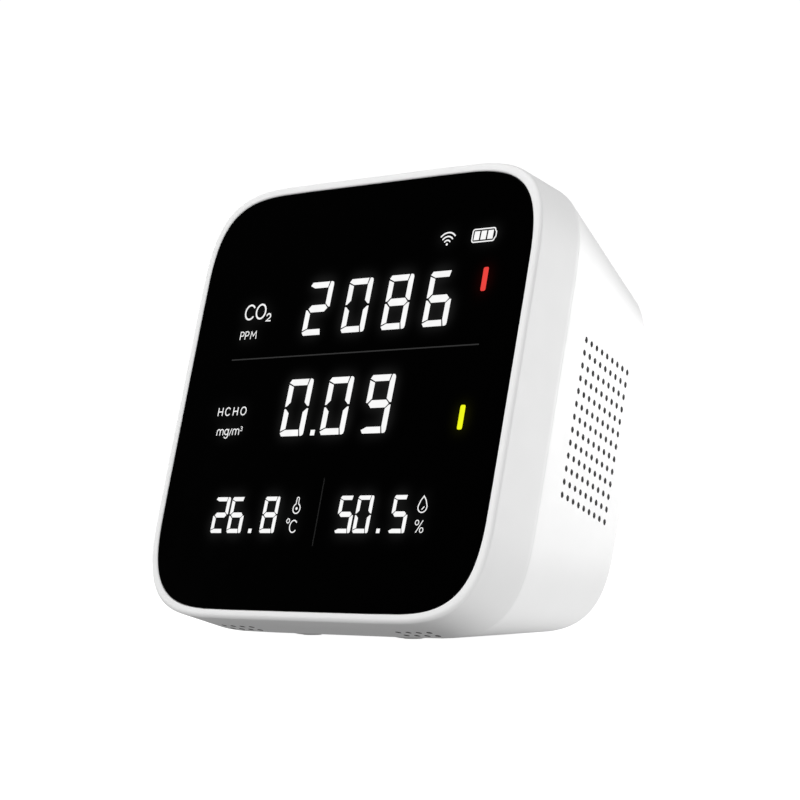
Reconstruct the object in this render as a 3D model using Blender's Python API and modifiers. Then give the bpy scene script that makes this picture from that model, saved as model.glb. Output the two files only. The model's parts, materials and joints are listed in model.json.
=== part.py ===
"""Desktop air quality monitor: a display head that leans back on its own tapered housing.

Lengths in this file are millimetres and the helpers turn them into metres.
Most pieces are placed in the head's own frame, which leans back by TILT:
x runs to the right, n runs rearward from the front face and u runs up along the face.
The world origin is on the table under the middle of the head's overall depth, +Z is up and the face
looks towards -Y.
"""

import math

import bmesh
import bpy
from mathutils import Matrix, Vector

MM = 0.001
GAP = 0.3  # air left between neighbouring pieces

# Head: driving dimensions
HEAD_WIDTH = 86.8
HEAD_HEIGHT = 89.0
HEAD_DEPTH = 48.2
BAND_DEPTH = 12.2  # the straight front band, before the housing starts to taper
TILT = math.radians(14.8)  # also the taper of the underside, which rests level on the feet
TOP_TAPER = math.radians(14.4)
SIDE_TAPER = math.radians(12.3)
CORNER_FRONT = 26.2  # how far a corner curve reaches along each side
CORNER_BACK = 19.9
POWER_FRONT = 3.8  # superellipse exponent of the corner curve
POWER_BACK = 3.3
CORNER_STEPS = 8
WALL = 2.0
REAR_WALL_IN = HEAD_DEPTH - WALL
REAR_ROUND = 3.0

# Front: rim, lens and display stack, by distance n behind the face
RIM_WIDTH = 1.7
RIM_ROUND = 0.8
LENS_INSET = 1.9
LENS_BACK = 1.8
LEDGE = (2.6, 4.4)
LEDGE_INSET = 8.2
TAPE = (2.05, 2.35)
FILM_INSET = 8.5
LIGHT_BOX = (2.6, 7.7)
LIGHT_BOX_HALF = (33.9, 31.5)
DISPLAY_PCB = (8.0, 9.2)
DISPLAY_PCB_HALF = (39.0, 37.0)
DISPLAY_BOSS = (33.5, 34.5)
DISPLAY_BOSS_RADIUS = 2.5
DRIVER_CHIP = ((15.0, 24.0), (6.0, 15.0), 1.2)  # x span, u span and height
PILOT_RADIUS = 1.15  # of every hole that a small screw cuts its thread in

# Wells of the light box. A digit row is its first x, its u, the places in use and the digit's well,
# a well is its width, height and pitch. A sign is its middle x, middle u, width and height.
BIG_WELL = (7.6, 12.4, 10.35)
SMALL_WELL = (3.9, 8.2, 4.5)
DIGIT_ROWS = (
    (-9.2, 17.4, (0, 1, 2, 3), BIG_WELL),
    (-10.0, -2.6, (0, 1, 2), BIG_WELL),
    (-25.3, -24.2, (0, 1, 3), SMALL_WELL),
    (7.5, -24.2, (0, 1, 3), SMALL_WELL),
)
SIGN_WELLS = {
    "red_bar": (31.7, 20.6, 2.4, 5.6),
    "yellow_bar": (31.7, -6.0, 2.4, 5.6),
    "wireless": (21.2, 29.4, 4.8, 3.2),
    "battery": (30.0, 29.4, 6.6, 3.2),
    "carbon_dioxide": (-25.5, 15.8, 8.6, 8.6),
    "formaldehyde": (-26.8, -5.0, 9.8, 7.6),
    "thermometer": (-5.5, -24.2, 3.2, 8.2),
    "drop": (26.4, -24.2, 3.2, 8.2),
}

# Parting line between the front band and the rear housing
PARTING = BAND_DEPTH + GAP
LIP_FRONT = 10.8
LIP_INSET = (2.3, 3.4)
LIP_ROOT = (13.2, 14.6)  # where the lip's inner side runs back to the wall's

# Tongues at the top of the band, and lugs at its bottom for the case screws
FASTENER_HALF_WIDTH = 3.5
TONGUE_BACK = 20.0
TONGUE_U = (37.3, 39.9)
LUG_FRONT_U = -38.0
LUG_Z = (4.6, 7.6)
CASE_HOLE_RADIUS = 1.4

# Vents
VENT_PITCH = 2.5
VENT_COLUMNS = 9
VENT_ROWS = 13
VENT_RADIUS = 0.6
VENT_SIDES = 6
SIDE_LENGTH = (HEAD_DEPTH - BAND_DEPTH) / math.cos(SIDE_TAPER)
BOTTOM_VENT_X = 22.6  # middle of each group under the band
BOTTOM_VENT_N = (7.7, 10.2)
BOTTOM_VENT_COLUMNS = 4

# Rear electronics
MAIN_PCB = (38.4, 40.0)
MAIN_PCB_HALF = (31.0, 30.0)
PCB_BOSS = (27.0, 26.0)
PCB_BOSS_RADIUS = 2.7
PCB_FRONT = MAIN_PCB[0] - GAP
PCB_REAR = MAIN_PCB[1] + GAP
WIFI_BOARD = ((-22.0, -4.0), (2.0, 27.0), 0.8)  # x span, u span and height, as for all parts below
WIFI_SHIELD = ((-21.0, -5.0), (3.0, 20.0), 2.1)
MAIN_CHIP = ((10.5, 17.5), (-23.5, -16.5), 1.0)
CHARGER_COIL = ((-16.5, -11.5), (-22.5, -17.5), 3.0)
BUZZER_PLACE = (15.0, 14.0)

# Carbon dioxide sensor, standing on two header strips
CO2_X = (-5.4, 28.4)
CO2_U = (3.1, 22.9)
CO2_BOARD = (35.0, 36.2)
CO2_CHAMBER = (28.2, 34.7)
CO2_FILTER = ((3.0, 17.0), (27.4, 27.9), (8.0, 18.0))  # spans along x, n and u
CO2_HEADER_U = (6.0, 19.0)

# Formaldehyde sensor
HCHO_PLACE = (-17.0, 14.0)
HCHO_BASE = (10.0, 1.2)  # radius and height
HCHO_CAN = (9.8, 9.0)
HCHO_WINDOW = (4.5, 0.4)

# Temperature and humidity sensor, over the right-hand bottom vents: spans along x, n and u
CLIMATE_BOARD = ((18.0, 27.5), (5.0, 15.0), (-40.5, -39.7))
CLIMATE_CHIP_U = (-41.8, -40.8)
CLIMATE_SOCKET = (4.5, -16.0)
CABLE_RADIUS = 0.8

# Keys on the rear face
KEY_X = 9.0
KEY_U = -6.0
KEY_RADIUS = 3.3
KEY_PROUD = 0.6
KEY_FLANGE = (44.9, 45.9)
KEY_FLANGE_RADIUS = 4.4
SWITCH_TOP = 43.8
PLUNGER = (42.4, 44.6)
PLUNGER_RADIUS = 1.7
SWITCH_HALF = 3.0

# Charging port on the rear face
PORT_U = -22.0
PORT_SIZE = (8.9, 3.2)
PORT_END = HEAD_DEPTH - GAP
PORT_WALL = 0.3
PORT_FLOOR = 0.7
PORT_TONGUE = (3.35, 0.35, 0.8)  # half width, half height and how far it ends inside the mouth

# Battery cell, lying across the head
CELL_RADIUS = 9.2
CELL_LENGTH = 65.0
CELL_N = 26.0
CELL_U = -25.5
CELL_CAP = (3.0, 1.0)  # radius and height of its positive end
CELL_FOAM_HALF = (14.0, 4.0)
CELL_RIB = (22.0, 1.2, 8.0)  # middle x, half width and half length
BATTERY_SOCKET = (19.0, -7.0)
BATTERY_LEAD_RADIUS = 0.6

# Ribbon cable between the boards
RIBBON_X = (-18.0, -6.0)
RIBBON_U = -4.0
RIBBON_SAG = 7.0
RIBBON_THICKNESS = 0.3
RIBBON_SOCKET = 1.8  # height

# Feet and the two case screws above the front pair (world frame)
FOOT_PROUD = 0.5
FOOT_RADIUS = 4.0
FOOT_HEIGHT = 1.05
FOOT_RECESS = 0.8
FOOT_X = 13.0
FOOT_SPREAD = 12.0
SCREW_SINK = (2.6, 1.4)  # radius and depth
LABEL_HALF = (7.5, 6.0)
LABEL_Z = (0.2, 0.4)

# Where the head sits on its feet
SIN = math.sin(TILT)
COS = math.cos(TILT)
FACE_Z = FOOT_PROUD + BAND_DEPTH * SIN + HEAD_HEIGHT / 2 * COS


# ---------------------------------------------------------------- outlines of the head


def squircle(half_x, half_up, half_down, extent, power):
    """Anticlockwise (x, u) points of an outline whose corners are superellipse quarters."""
    points = []
    for side_x, side_u in ((1, 1), (-1, 1), (-1, -1), (1, -1)):
        half_u = half_up if side_u > 0 else half_down
        for step in range(CORNER_STEPS + 1):
            share = step / CORNER_STEPS
            if side_x != side_u:
                share = 1 - share
            angle = share * math.pi / 2
            x = half_x - extent + extent * abs(math.cos(angle)) ** (2 / power)
            u = half_u - extent + extent * abs(math.sin(angle)) ** (2 / power)
            points.append((side_x * x, side_u * u))
    return points


def head_outline(n=0.0, inset=0.0):
    """The head's outer outline at depth n, moved in by inset."""
    back = max(0.0, n - BAND_DEPTH)
    share = back / (HEAD_DEPTH - BAND_DEPTH)
    return squircle(
        HEAD_WIDTH / 2 - back * math.tan(SIDE_TAPER) - inset,
        HEAD_HEIGHT / 2 - back * math.tan(TOP_TAPER) - inset,
        HEAD_HEIGHT / 2 - back * math.tan(TILT) - inset,
        CORNER_FRONT + share * (CORNER_BACK - CORNER_FRONT) - inset,
        POWER_FRONT + share * (POWER_BACK - POWER_FRONT),
    )


def bezel_stations():
    """(inset, n) points round the bezel's section: rim, outer side, inner side and lens ledge."""
    rim = []
    for step in range(3):
        angle = step / 2 * math.pi / 2
        rim.append((RIM_ROUND * (1 - math.sin(angle)), RIM_ROUND * (1 - math.cos(angle))))
    outer = [(0.0, BAND_DEPTH), (WALL, BAND_DEPTH), (WALL, LEDGE[1])]
    ledge = [(LEDGE_INSET, LEDGE[1]), (LEDGE_INSET, LEDGE[0]), (RIM_WIDTH, LEDGE[0])]
    return [(RIM_WIDTH, 0.0)] + rim + outer + ledge


def housing_stations():
    """(inset, n) points of the housing's section: inner side, lip, parting face and rounded back."""
    inner = [(WALL, REAR_WALL_IN), (WALL, LIP_ROOT[1])]
    inner += [(LIP_INSET[1], LIP_ROOT[0]), (LIP_INSET[1], LIP_FRONT)]
    lip = [(LIP_INSET[0], LIP_FRONT), (LIP_INSET[0], PARTING), (0.0, PARTING)]
    back = []
    for step in range(4):
        angle = step / 3 * math.pi / 2
        n = HEAD_DEPTH - REAR_ROUND + REAR_ROUND * math.sin(angle)
        back.append((REAR_ROUND * (1 - math.cos(angle)), n))
    return inner + lip + back


def head_reach():
    """The head's span along world Y, counted from the middle of its face."""
    places = []
    for inset, n in bezel_stations() + housing_stations():
        places += [n * COS + u * SIN for _, u in head_outline(n, inset)]
    return min(places), max(places)


FACE_Y = -sum(head_reach()) / 2
BASE_LENGTH = (HEAD_DEPTH - BAND_DEPTH) / COS
BASE_Y = FACE_Y + BAND_DEPTH * COS - HEAD_HEIGHT / 2 * SIN + BASE_LENGTH / 2
FRONT_FOOT_Y = BASE_Y - FOOT_SPREAD
REAR_FOOT_Y = BASE_Y + FOOT_SPREAD


# ---------------------------------------------------------------- scene helpers


def clear_scene():
    for obj in list(bpy.data.objects):
        bpy.data.objects.remove(obj, do_unlink=True)


def new_collection(name):
    collection = bpy.data.collections.new(name)
    bpy.context.scene.collection.children.link(collection)
    return collection


clear_scene()
PARTS = new_collection("air_quality_monitor")
CUTTERS = new_collection("cutters")

FACE = bpy.data.objects.new("face_frame", None)
FACE.location = (0.0, FACE_Y * MM, FACE_Z * MM)
FACE.rotation_euler = (-TILT, 0.0, 0.0)
PARTS.objects.link(FACE)


def make_material(name, colour, roughness, metallic=0.0):
    material = bpy.data.materials.new(name)
    material.use_nodes = True
    shader = material.node_tree.nodes["Principled BSDF"]
    shader.inputs["Base Color"].default_value = (*colour, 1.0)
    shader.inputs["Roughness"].default_value = roughness
    shader.inputs["Metallic"].default_value = metallic
    material.diffuse_color = (*colour, 1.0)
    return material


WHITE_SHELL = make_material("white_shell", (0.88, 0.88, 0.88), 0.42)
BLACK_LENS = make_material("black_lens", (0.004, 0.004, 0.005), 0.06)
WHITE_BOX = make_material("white_reflector", (0.8, 0.8, 0.8), 0.5)
DARK_FILM = make_material("dark_film", (0.02, 0.02, 0.02), 0.5)
BLACK_TAPE = make_material("black_tape", (0.02, 0.02, 0.02), 0.8)
GREEN_BOARD = make_material("green_board", (0.02, 0.16, 0.06), 0.4)
BLACK_BOARD = make_material("black_board", (0.02, 0.02, 0.025), 0.4)
BLACK_CHIP = make_material("black_chip", (0.03, 0.03, 0.03), 0.5)
GREY_RUBBER = make_material("grey_rubber", (0.6, 0.6, 0.6), 0.85)
WHITE_KEY = make_material("white_key", (0.82, 0.82, 0.82), 0.45)
STEEL = make_material("steel", (0.6, 0.6, 0.6), 0.3, 1.0)
GOLD = make_material("gold_chamber", (0.8, 0.6, 0.25), 0.3, 1.0)
CREAM_PLASTIC = make_material("cream_plastic", (0.75, 0.7, 0.58), 0.5)
WHITE_FILTER = make_material("white_filter", (0.85, 0.85, 0.85), 0.9)
GREY_SCREEN = make_material("grey_screen", (0.1, 0.1, 0.1), 0.9)
BLUE_CELL = make_material("blue_cell", (0.03, 0.15, 0.4), 0.35)
GREY_FOAM = make_material("grey_foam", (0.15, 0.15, 0.15), 0.95)
RED_WIRE = make_material("red_wire", (0.6, 0.02, 0.02), 0.5)
BLACK_WIRE = make_material("black_wire", (0.02, 0.02, 0.02), 0.5)
GREY_WIRE = make_material("grey_wire", (0.35, 0.35, 0.35), 0.5)
WHITE_RIBBON = make_material("white_ribbon", (0.8, 0.82, 0.85), 0.4)
LABEL_PAPER = make_material("label_paper", (0.75, 0.75, 0.75), 0.6)


def settle(obj, material, parent):
    """Links a visible piece to its collection, frame and material."""
    PARTS.objects.link(obj)
    obj.parent = parent
    obj.data.materials.append(material)
    return obj


def tool(obj, parent):
    """Links a helper that only cuts or joins, kept out of the render."""
    CUTTERS.objects.link(obj)
    obj.parent = parent
    obj.hide_render = True
    obj.display_type = "WIRE"
    return obj


def mesh_from(name, shape, smooth=True):
    mesh = bpy.data.meshes.new(name)
    shape.to_mesh(mesh)
    shape.free()
    if smooth:
        mesh.shade_smooth()
        mesh.set_sharp_from_angle(angle=math.radians(35))
    return mesh


def object_at(name, data, centre, rotation=(0.0, 0.0, 0.0)):
    obj = bpy.data.objects.new(name, data)
    obj.location = Vector(centre) * MM
    obj.rotation_euler = rotation
    return obj


def middle(span):
    return (span[0] + span[1]) / 2


def length(span):
    return span[1] - span[0]


# ---------------------------------------------------------------- shape helpers


def box_object(name, x, n, u):
    """A block given by its spans along x, n and u."""
    shape = bmesh.new()
    bmesh.ops.create_cube(shape, size=1.0)
    bmesh.ops.scale(shape, vec=Vector((length(x), length(n), length(u))) * MM, verts=shape.verts)
    mesh = mesh_from(name, shape, smooth=False)
    return object_at(name, mesh, (middle(x), middle(n), middle(u)))


def box(name, x, n, u, material, parent=FACE, bevel=0.0):
    obj = settle(box_object(name, x, n, u), material, parent)
    if bevel:
        rounding = obj.modifiers.new("rounding", "BEVEL")
        rounding.width = bevel * MM
        rounding.segments = 1
    return obj


def spread(centre, half):
    return (centre - half, centre + half)


def part_on_board(name, part, material, foot=PCB_REAR, bevel=0.0):
    """A block on the rear side of a board: part is its x span, u span and height."""
    x, u, height = part
    return box(name, x, (foot, foot + height), u, material, bevel=bevel)


AXIS_TURN = {
    "n": (-math.pi / 2, 0.0, 0.0),  # local +Z along +n
    "u": (0.0, 0.0, 0.0),
    "x": (0.0, math.pi / 2, 0.0),
}


def rod_object(name, radius, centre, depth, axis="n", sides=12):
    shape = bmesh.new()
    bmesh.ops.create_cone(
        shape,
        cap_ends=True,
        segments=sides,
        radius1=radius * MM,
        radius2=radius * MM,
        depth=depth * MM,
    )
    return object_at(name, mesh_from(name, shape), centre, AXIS_TURN[axis])


def rod(name, radius, centre, depth, material, axis="n", sides=12, parent=FACE):
    return settle(rod_object(name, radius, centre, depth, axis, sides), material, parent)


def turned(name, profile, foot, material, axis="n", sides=16, parent=FACE):
    """Turns (radius, height) points, listed top to bottom, about an axis through foot."""
    shape = bmesh.new()
    points = [shape.verts.new((r * MM, 0.0, h * MM)) for r, h in profile]
    for first, second in zip(points, points[1:]):
        shape.edges.new((first, second))
    obj = object_at(name, mesh_from(name, shape, smooth=False), foot, AXIS_TURN[axis])
    turn = obj.modifiers.new("turn", "SCREW")
    turn.steps = sides
    turn.render_steps = sides
    turn.use_merge_vertices = True
    turn.merge_threshold = 0.00001
    return settle(obj, material, parent)


def screw(name, foot, head, shank, axis="n", parent=FACE, flip=False):
    """A screw whose head bears at foot; head and shank are (radius, length)."""
    head_radius, head_length = head
    shank_radius, shank_length = shank
    profile = [
        (0.0, head_length),
        (head_radius * 0.7, head_length),
        (head_radius, head_length * 0.5),
        (head_radius, 0.0),
        (shank_radius, 0.0),
        (shank_radius, -shank_length + shank_radius),
        (0.0, -shank_length),
    ]
    obj = turned(name, profile, foot, STEEL, axis, sides=10, parent=parent)
    if flip:
        obj.rotation_euler.rotate_axis("X", math.pi)
    return obj


def circle(x, u, radius, sides=12):
    turn = 2 * math.pi / sides
    return [(x + radius * math.cos(i * turn), u + radius * math.sin(i * turn)) for i in range(sides)]


def rounded_rectangle(half_x, half_u, radius, x=0.0, u=0.0, steps=3):
    points = []
    for quarter in range(4):
        corner_x = x + (half_x - radius) * (1, -1, -1, 1)[quarter]
        corner_u = u + (half_u - radius) * (1, 1, -1, -1)[quarter]
        for step in range(steps + 1):
            angle = (quarter + step / steps) * math.pi / 2
            points.append((corner_x + radius * math.cos(angle), corner_u + radius * math.sin(angle)))
    return points


def plate_curve(name, outlines, n):
    """A flat plate in the face plane between two depths n; outlines after the first are holes."""
    curve = bpy.data.curves.new(name, "CURVE")
    curve.dimensions = "2D"
    curve.fill_mode = "BOTH"
    curve.extrude = length(n) / 2 * MM
    for outline in outlines:
        spline = curve.splines.new("POLY")
        spline.points.add(len(outline) - 1)
        for point, (x, u) in zip(spline.points, outline):
            point.co = (x * MM, u * MM, 0.0, 1.0)
        spline.use_cyclic_u = True
    return object_at(name, curve, (0.0, middle(n), 0.0), (math.pi / 2, 0.0, 0.0))


def plate(name, outlines, n, material):
    return settle(plate_curve(name, outlines, n), material, FACE)


def plate_mesh(name, outlines, n):
    """The same plate as a mesh, so that it can be cut or can cut."""
    curve = plate_curve(name + "_curve", outlines, n)
    PARTS.objects.link(curve)
    bpy.context.view_layer.update()
    graph = bpy.context.evaluated_depsgraph_get()
    mesh = bpy.data.meshes.new_from_object(curve.evaluated_get(graph))
    shape = bmesh.new()
    shape.from_mesh(mesh)
    bmesh.ops.remove_doubles(shape, verts=shape.verts, dist=0.000001)
    bmesh.ops.recalc_face_normals(shape, faces=shape.faces)
    shape.to_mesh(mesh)
    shape.free()
    mesh.name = name
    solid = bpy.data.objects.new(name, mesh)
    solid.matrix_world = curve.matrix_world
    bpy.data.objects.remove(curve, do_unlink=True)
    return solid


def prisms(name, places, radius, depth, sides):
    """Parallel prisms about +Z, one at each place, in one mesh."""
    shape = bmesh.new()
    for x, y in places:
        made = bmesh.ops.create_cone(
            shape,
            cap_ends=True,
            segments=sides,
            radius1=radius * MM,
            radius2=radius * MM,
            depth=depth * MM,
        )
        bmesh.ops.translate(shape, vec=Vector((x, y, 0.0)) * MM, verts=made["verts"])
    return mesh_from(name, shape, smooth=False)


def loft(name, stations, closed):
    """Joins head outlines at (inset, n) stations; closed joins last to first, else both ends are capped."""
    shape = bmesh.new()
    rings = []
    for inset, n in stations:
        ring = [shape.verts.new(Vector((x, n, u)) * MM) for x, u in head_outline(n, inset)]
        rings.append(ring)
    pairs = list(zip(rings, rings[1:]))
    if closed:
        pairs.append((rings[-1], rings[0]))
    else:
        shape.faces.new(rings[0])
        shape.faces.new(rings[-1])
    for ring, following in pairs:
        for i in range(len(ring)):
            j = (i + 1) % len(ring)
            shape.faces.new((ring[i], ring[j], following[j], following[i]))
    bmesh.ops.recalc_face_normals(shape, faces=shape.faces)
    return bpy.data.objects.new(name, mesh_from(name, shape))


def boolean(target, other, operation, parent=FACE):
    tool(other, parent)
    step = target.modifiers.new(other.name, "BOOLEAN")
    step.operation = operation
    step.solver = "EXACT"
    step.object = other


def cut(target, other, parent=FACE):
    boolean(target, other, "DIFFERENCE", parent)


def join(target, other, parent=FACE):
    boolean(target, other, "UNION", parent)


def wire(name, points, radius, material):
    """A round wire through points given in the head frame."""
    curve = bpy.data.curves.new(name, "CURVE")
    curve.dimensions = "3D"
    curve.bevel_depth = radius * MM
    curve.bevel_resolution = 1
    curve.use_fill_caps = True
    spline = curve.splines.new("POLY")
    spline.points.add(len(points) - 1)
    for point, place in zip(spline.points, points):
        point.co = (*(Vector(place) * MM), 1.0)
    return settle(object_at(name, curve, (0.0, 0.0, 0.0)), material, FACE)


def bend_points(points, steps=3):
    """Rounds the inner corners of a path with quadratic arcs that start halfway along each leg."""
    path = [Vector(points[0])]
    for before, corner, after in zip(points, points[1:], points[2:]):
        start = (Vector(before) + Vector(corner)) / 2
        end = (Vector(corner) + Vector(after)) / 2
        for step in range(steps + 1):
            t = step / steps
            path.append(start * (1 - t) ** 2 + Vector(corner) * 2 * t * (1 - t) + end * t**2)
    path.append(Vector(points[-1]))
    return path


# ---------------------------------------------------------------- front of the head


def front_bezel():
    bezel = settle(loft("front_bezel", bezel_stations(), closed=True), WHITE_SHELL, FACE)

    boss_x, boss_u = DISPLAY_BOSS
    boss_end = DISPLAY_PCB[0] - GAP
    root = middle(LEDGE)
    for name, x, u in corners(boss_x, boss_u):
        centre = (x, middle((root, boss_end)), u)
        join(bezel, rod_object("bezel_boss_" + name, DISPLAY_BOSS_RADIUS, centre, boss_end - root))
    for name, x, u in corners(boss_x, boss_u):
        cut(bezel, rod_object("bezel_pilot_" + name, PILOT_RADIUS, (x, 6.8, u), 3.6, sides=8))

    # Two tongues locate the housing at the top, and two lugs take the case screws at the bottom.
    for name, side in (("left", -1), ("right", 1)):
        x = spread(side * FOOT_X, FASTENER_HALF_WIDTH)
        join(bezel, box_object("bezel_tongue_" + name, x, (root, TONGUE_BACK), TONGUE_U))
        lug_y = (world_y(root, LUG_FRONT_U), FRONT_FOOT_Y + 3.2)
        join(bezel, box_object("bezel_lug_" + name, x, lug_y, LUG_Z), parent=None)
        place = (side * FOOT_X, FRONT_FOOT_Y, middle(LUG_Z))
        hole = rod_object("lug_hole_" + name, CASE_HOLE_RADIUS, place, 2 * length(LUG_Z), "u", 8)
        cut(bezel, hole, parent=None)

    first = -(BOTTOM_VENT_COLUMNS - 1) / 2
    places = []
    for side in (-1, 1):
        for column in range(BOTTOM_VENT_COLUMNS):
            x = side * BOTTOM_VENT_X + (first + column) * VENT_PITCH
            places += [(x, n) for n in BOTTOM_VENT_N]
    vents = prisms("bottom_vents", places, VENT_RADIUS, 3 * WALL, VENT_SIDES)
    cut(bezel, object_at("bottom_vents", vents, (0.0, 0.0, -HEAD_HEIGHT / 2 + WALL / 2)))


def corners(x, u):
    return (
        ("top_left", -x, u),
        ("top_right", x, u),
        ("bottom_left", -x, -u),
        ("bottom_right", x, -u),
    )


def world_y(n, u):
    """World y of a place given in the head frame."""
    return n * COS + u * SIN + FACE_Y


def front_lens():
    plate("front_lens", [head_outline(0.0, LENS_INSET)], (0.05, LENS_BACK), BLACK_LENS)


def lens_tape():
    outlines = [head_outline(0.0, LENS_INSET + 0.2), head_outline(0.0, LEDGE_INSET)]
    plate("lens_tape", outlines, TAPE, BLACK_TAPE)


def display_film():
    plate("display_film", [head_outline(0.0, FILM_INSET)], (TAPE[0], 2.3), DARK_FILM)


def light_box():
    outline = rounded_rectangle(*LIGHT_BOX_HALF, 3.0)
    body = settle(plate_mesh("light_box", [outline], LIGHT_BOX), WHITE_BOX, FACE)
    wells = list(SIGN_WELLS.values())
    for first_x, row_u, places, (well_width, well_height, pitch) in DIGIT_ROWS:
        wells += [(first_x + i * pitch, row_u, well_width, well_height) for i in places]
    shape = bmesh.new()
    for x, u, width, height in wells:
        made = bmesh.ops.create_cube(shape, size=1.0)
        size = Vector((width, 2 * length(LIGHT_BOX), height)) * MM
        bmesh.ops.scale(shape, vec=size, verts=made["verts"])
        bmesh.ops.translate(shape, vec=Vector((x, middle(LIGHT_BOX), u)) * MM, verts=made["verts"])
    cut(body, bpy.data.objects.new("light_wells", mesh_from("light_wells", shape, smooth=False)))


def display_board():
    holes = [circle(x, u, 1.25, 8) for _, x, u in corners(*DISPLAY_BOSS)]
    outline = rounded_rectangle(*DISPLAY_PCB_HALF, 4.0)
    plate("display_pcb", [outline] + holes, DISPLAY_PCB, BLACK_BOARD)
    bearing = DISPLAY_PCB[1] + GAP
    for name, x, u in corners(*DISPLAY_BOSS):
        screw("display_screw_" + name, (x, bearing, u), (1.9, 1.1), (0.85, 4.0))
    part_on_board("display_driver_chip", DRIVER_CHIP, BLACK_CHIP, bearing, bevel=0.2)


# ---------------------------------------------------------------- rear housing


def rear_housing():
    housing = settle(loft("rear_housing", housing_stations(), closed=False), WHITE_SHELL, FACE)

    for name, x, u in corners(*PCB_BOSS):
        n = (PCB_REAR, REAR_WALL_IN + WALL / 2)
        join(housing, rod_object("pcb_boss_" + name, PCB_BOSS_RADIUS, (x, middle(n), u), length(n)))
    for name, x, u in corners(*PCB_BOSS):
        cut(housing, rod_object("pcb_pilot_" + name, PILOT_RADIUS, (x, 42.0, u), 4.4, sides=8))

    cell_y = world_y(CELL_N, CELL_U)
    cell_z = -CELL_N * SIN + CELL_U * COS + FACE_Z
    rib_x, rib_half_width, rib_half_length = CELL_RIB
    for name, side in (("left", -1), ("right", 1)):
        x = spread(side * rib_x, rib_half_width)
        rib = box_object("cell_rib_" + name, x, spread(cell_y, rib_half_length), (1.5, cell_z - 3.0))
        join(housing, rib, parent=None)
    cradle = rod_object("cell_cradle", CELL_RADIUS + GAP, (0.0, cell_y, cell_z), 60.0, "x", 24)
    cut(housing, cradle, parent=None)

    for name, side in (("left", -1), ("right", 1)):
        pad = (1.5, LUG_Z[0] - GAP)
        place = (side * FOOT_X, FRONT_FOOT_Y, middle(pad))
        join(housing, rod_object("screw_pad_" + name, 4.2, place, length(pad), "u"), parent=None)
    recess_top = FOOT_PROUD + FOOT_RECESS
    for name, x, y in feet():
        recess = rod_object("foot_recess_" + name, FOOT_RADIUS + GAP, (x, y, recess_top - 1.0), 2.0, "u")
        cut(housing, recess, parent=None)
    for name, side in (("left", -1), ("right", 1)):
        place = (side * FOOT_X, FRONT_FOOT_Y, recess_top)
        sink = rod_object("case_screw_sink_" + name, SCREW_SINK[0], place, 2 * SCREW_SINK[1], "u")
        cut(housing, sink, parent=None)
        hole = rod_object("case_screw_hole_" + name, CASE_HOLE_RADIUS, place, 12.0, "u", 8)
        cut(housing, hole, parent=None)

    wall_n = middle((REAR_WALL_IN, HEAD_DEPTH))
    for name, side in (("power", -1), ("mode", 1)):
        place = (side * KEY_X, wall_n, KEY_U)
        cut(housing, rod_object(name + "_key_hole", KEY_RADIUS + GAP, place, 3 * WALL, sides=16))
    cut(housing, plate_mesh("port_hole", [port_outline(GAP)], spread(wall_n, 1.5 * WALL)))
    side_vents(housing)


def side_vents(housing):
    """A grid of straight holes through each flat side, centred on it."""
    first_s = (SIDE_LENGTH - (VENT_COLUMNS - 1) * VENT_PITCH) / 2
    first_u = -(VENT_ROWS - 1) / 2 * VENT_PITCH
    places = []
    for column in range(VENT_COLUMNS):
        s = first_s + column * VENT_PITCH
        places += [(s, first_u + row * VENT_PITCH) for row in range(VENT_ROWS)]
    for name, side in (("left", -1), ("right", 1)):
        vents = prisms(name + "_vents", places, VENT_RADIUS, 3 * WALL, VENT_SIDES)
        edge = (side * HEAD_WIDTH / 2, BAND_DEPTH, 0.0)
        cut(housing, object_at(name + "_vents", vents, edge, side_turn(side)))


def side_turn(side):
    """Rotation that lays local x rearward along a side wall and local y along u."""
    along = Vector((-side * math.sin(SIDE_TAPER), math.cos(SIDE_TAPER), 0.0))
    up = Vector((0.0, 0.0, 1.0))
    normal = along.cross(up)
    columns = (along, up, normal)
    rows = [[column[i] for column in columns] for i in range(3)]
    return Matrix(rows).to_euler()


def dust_screens():
    for name, side in (("left", -1), ("right", 1)):
        shape = bmesh.new()
        bmesh.ops.create_cube(shape, size=1.0)
        size = Vector((24.0, 34.0, 0.4)) * MM
        bmesh.ops.scale(shape, vec=size, verts=shape.verts)
        along = SIDE_LENGTH / 2
        depth = WALL + GAP + 0.2
        x = HEAD_WIDTH / 2 - along * math.sin(SIDE_TAPER) - depth * math.cos(SIDE_TAPER)
        n = BAND_DEPTH + along * math.cos(SIDE_TAPER) - depth * math.sin(SIDE_TAPER)
        mesh = mesh_from("dust_screen_" + name, shape, smooth=False)
        screen = object_at("dust_screen_" + name, mesh, (side * x, n, 0.0), side_turn(side))
        settle(screen, GREY_SCREEN, FACE)


def feet():
    return (
        ("front_left", -FOOT_X, FRONT_FOOT_Y),
        ("front_right", FOOT_X, FRONT_FOOT_Y),
        ("rear_left", -FOOT_X, REAR_FOOT_Y),
        ("rear_right", FOOT_X, REAR_FOOT_Y),
    )


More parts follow.
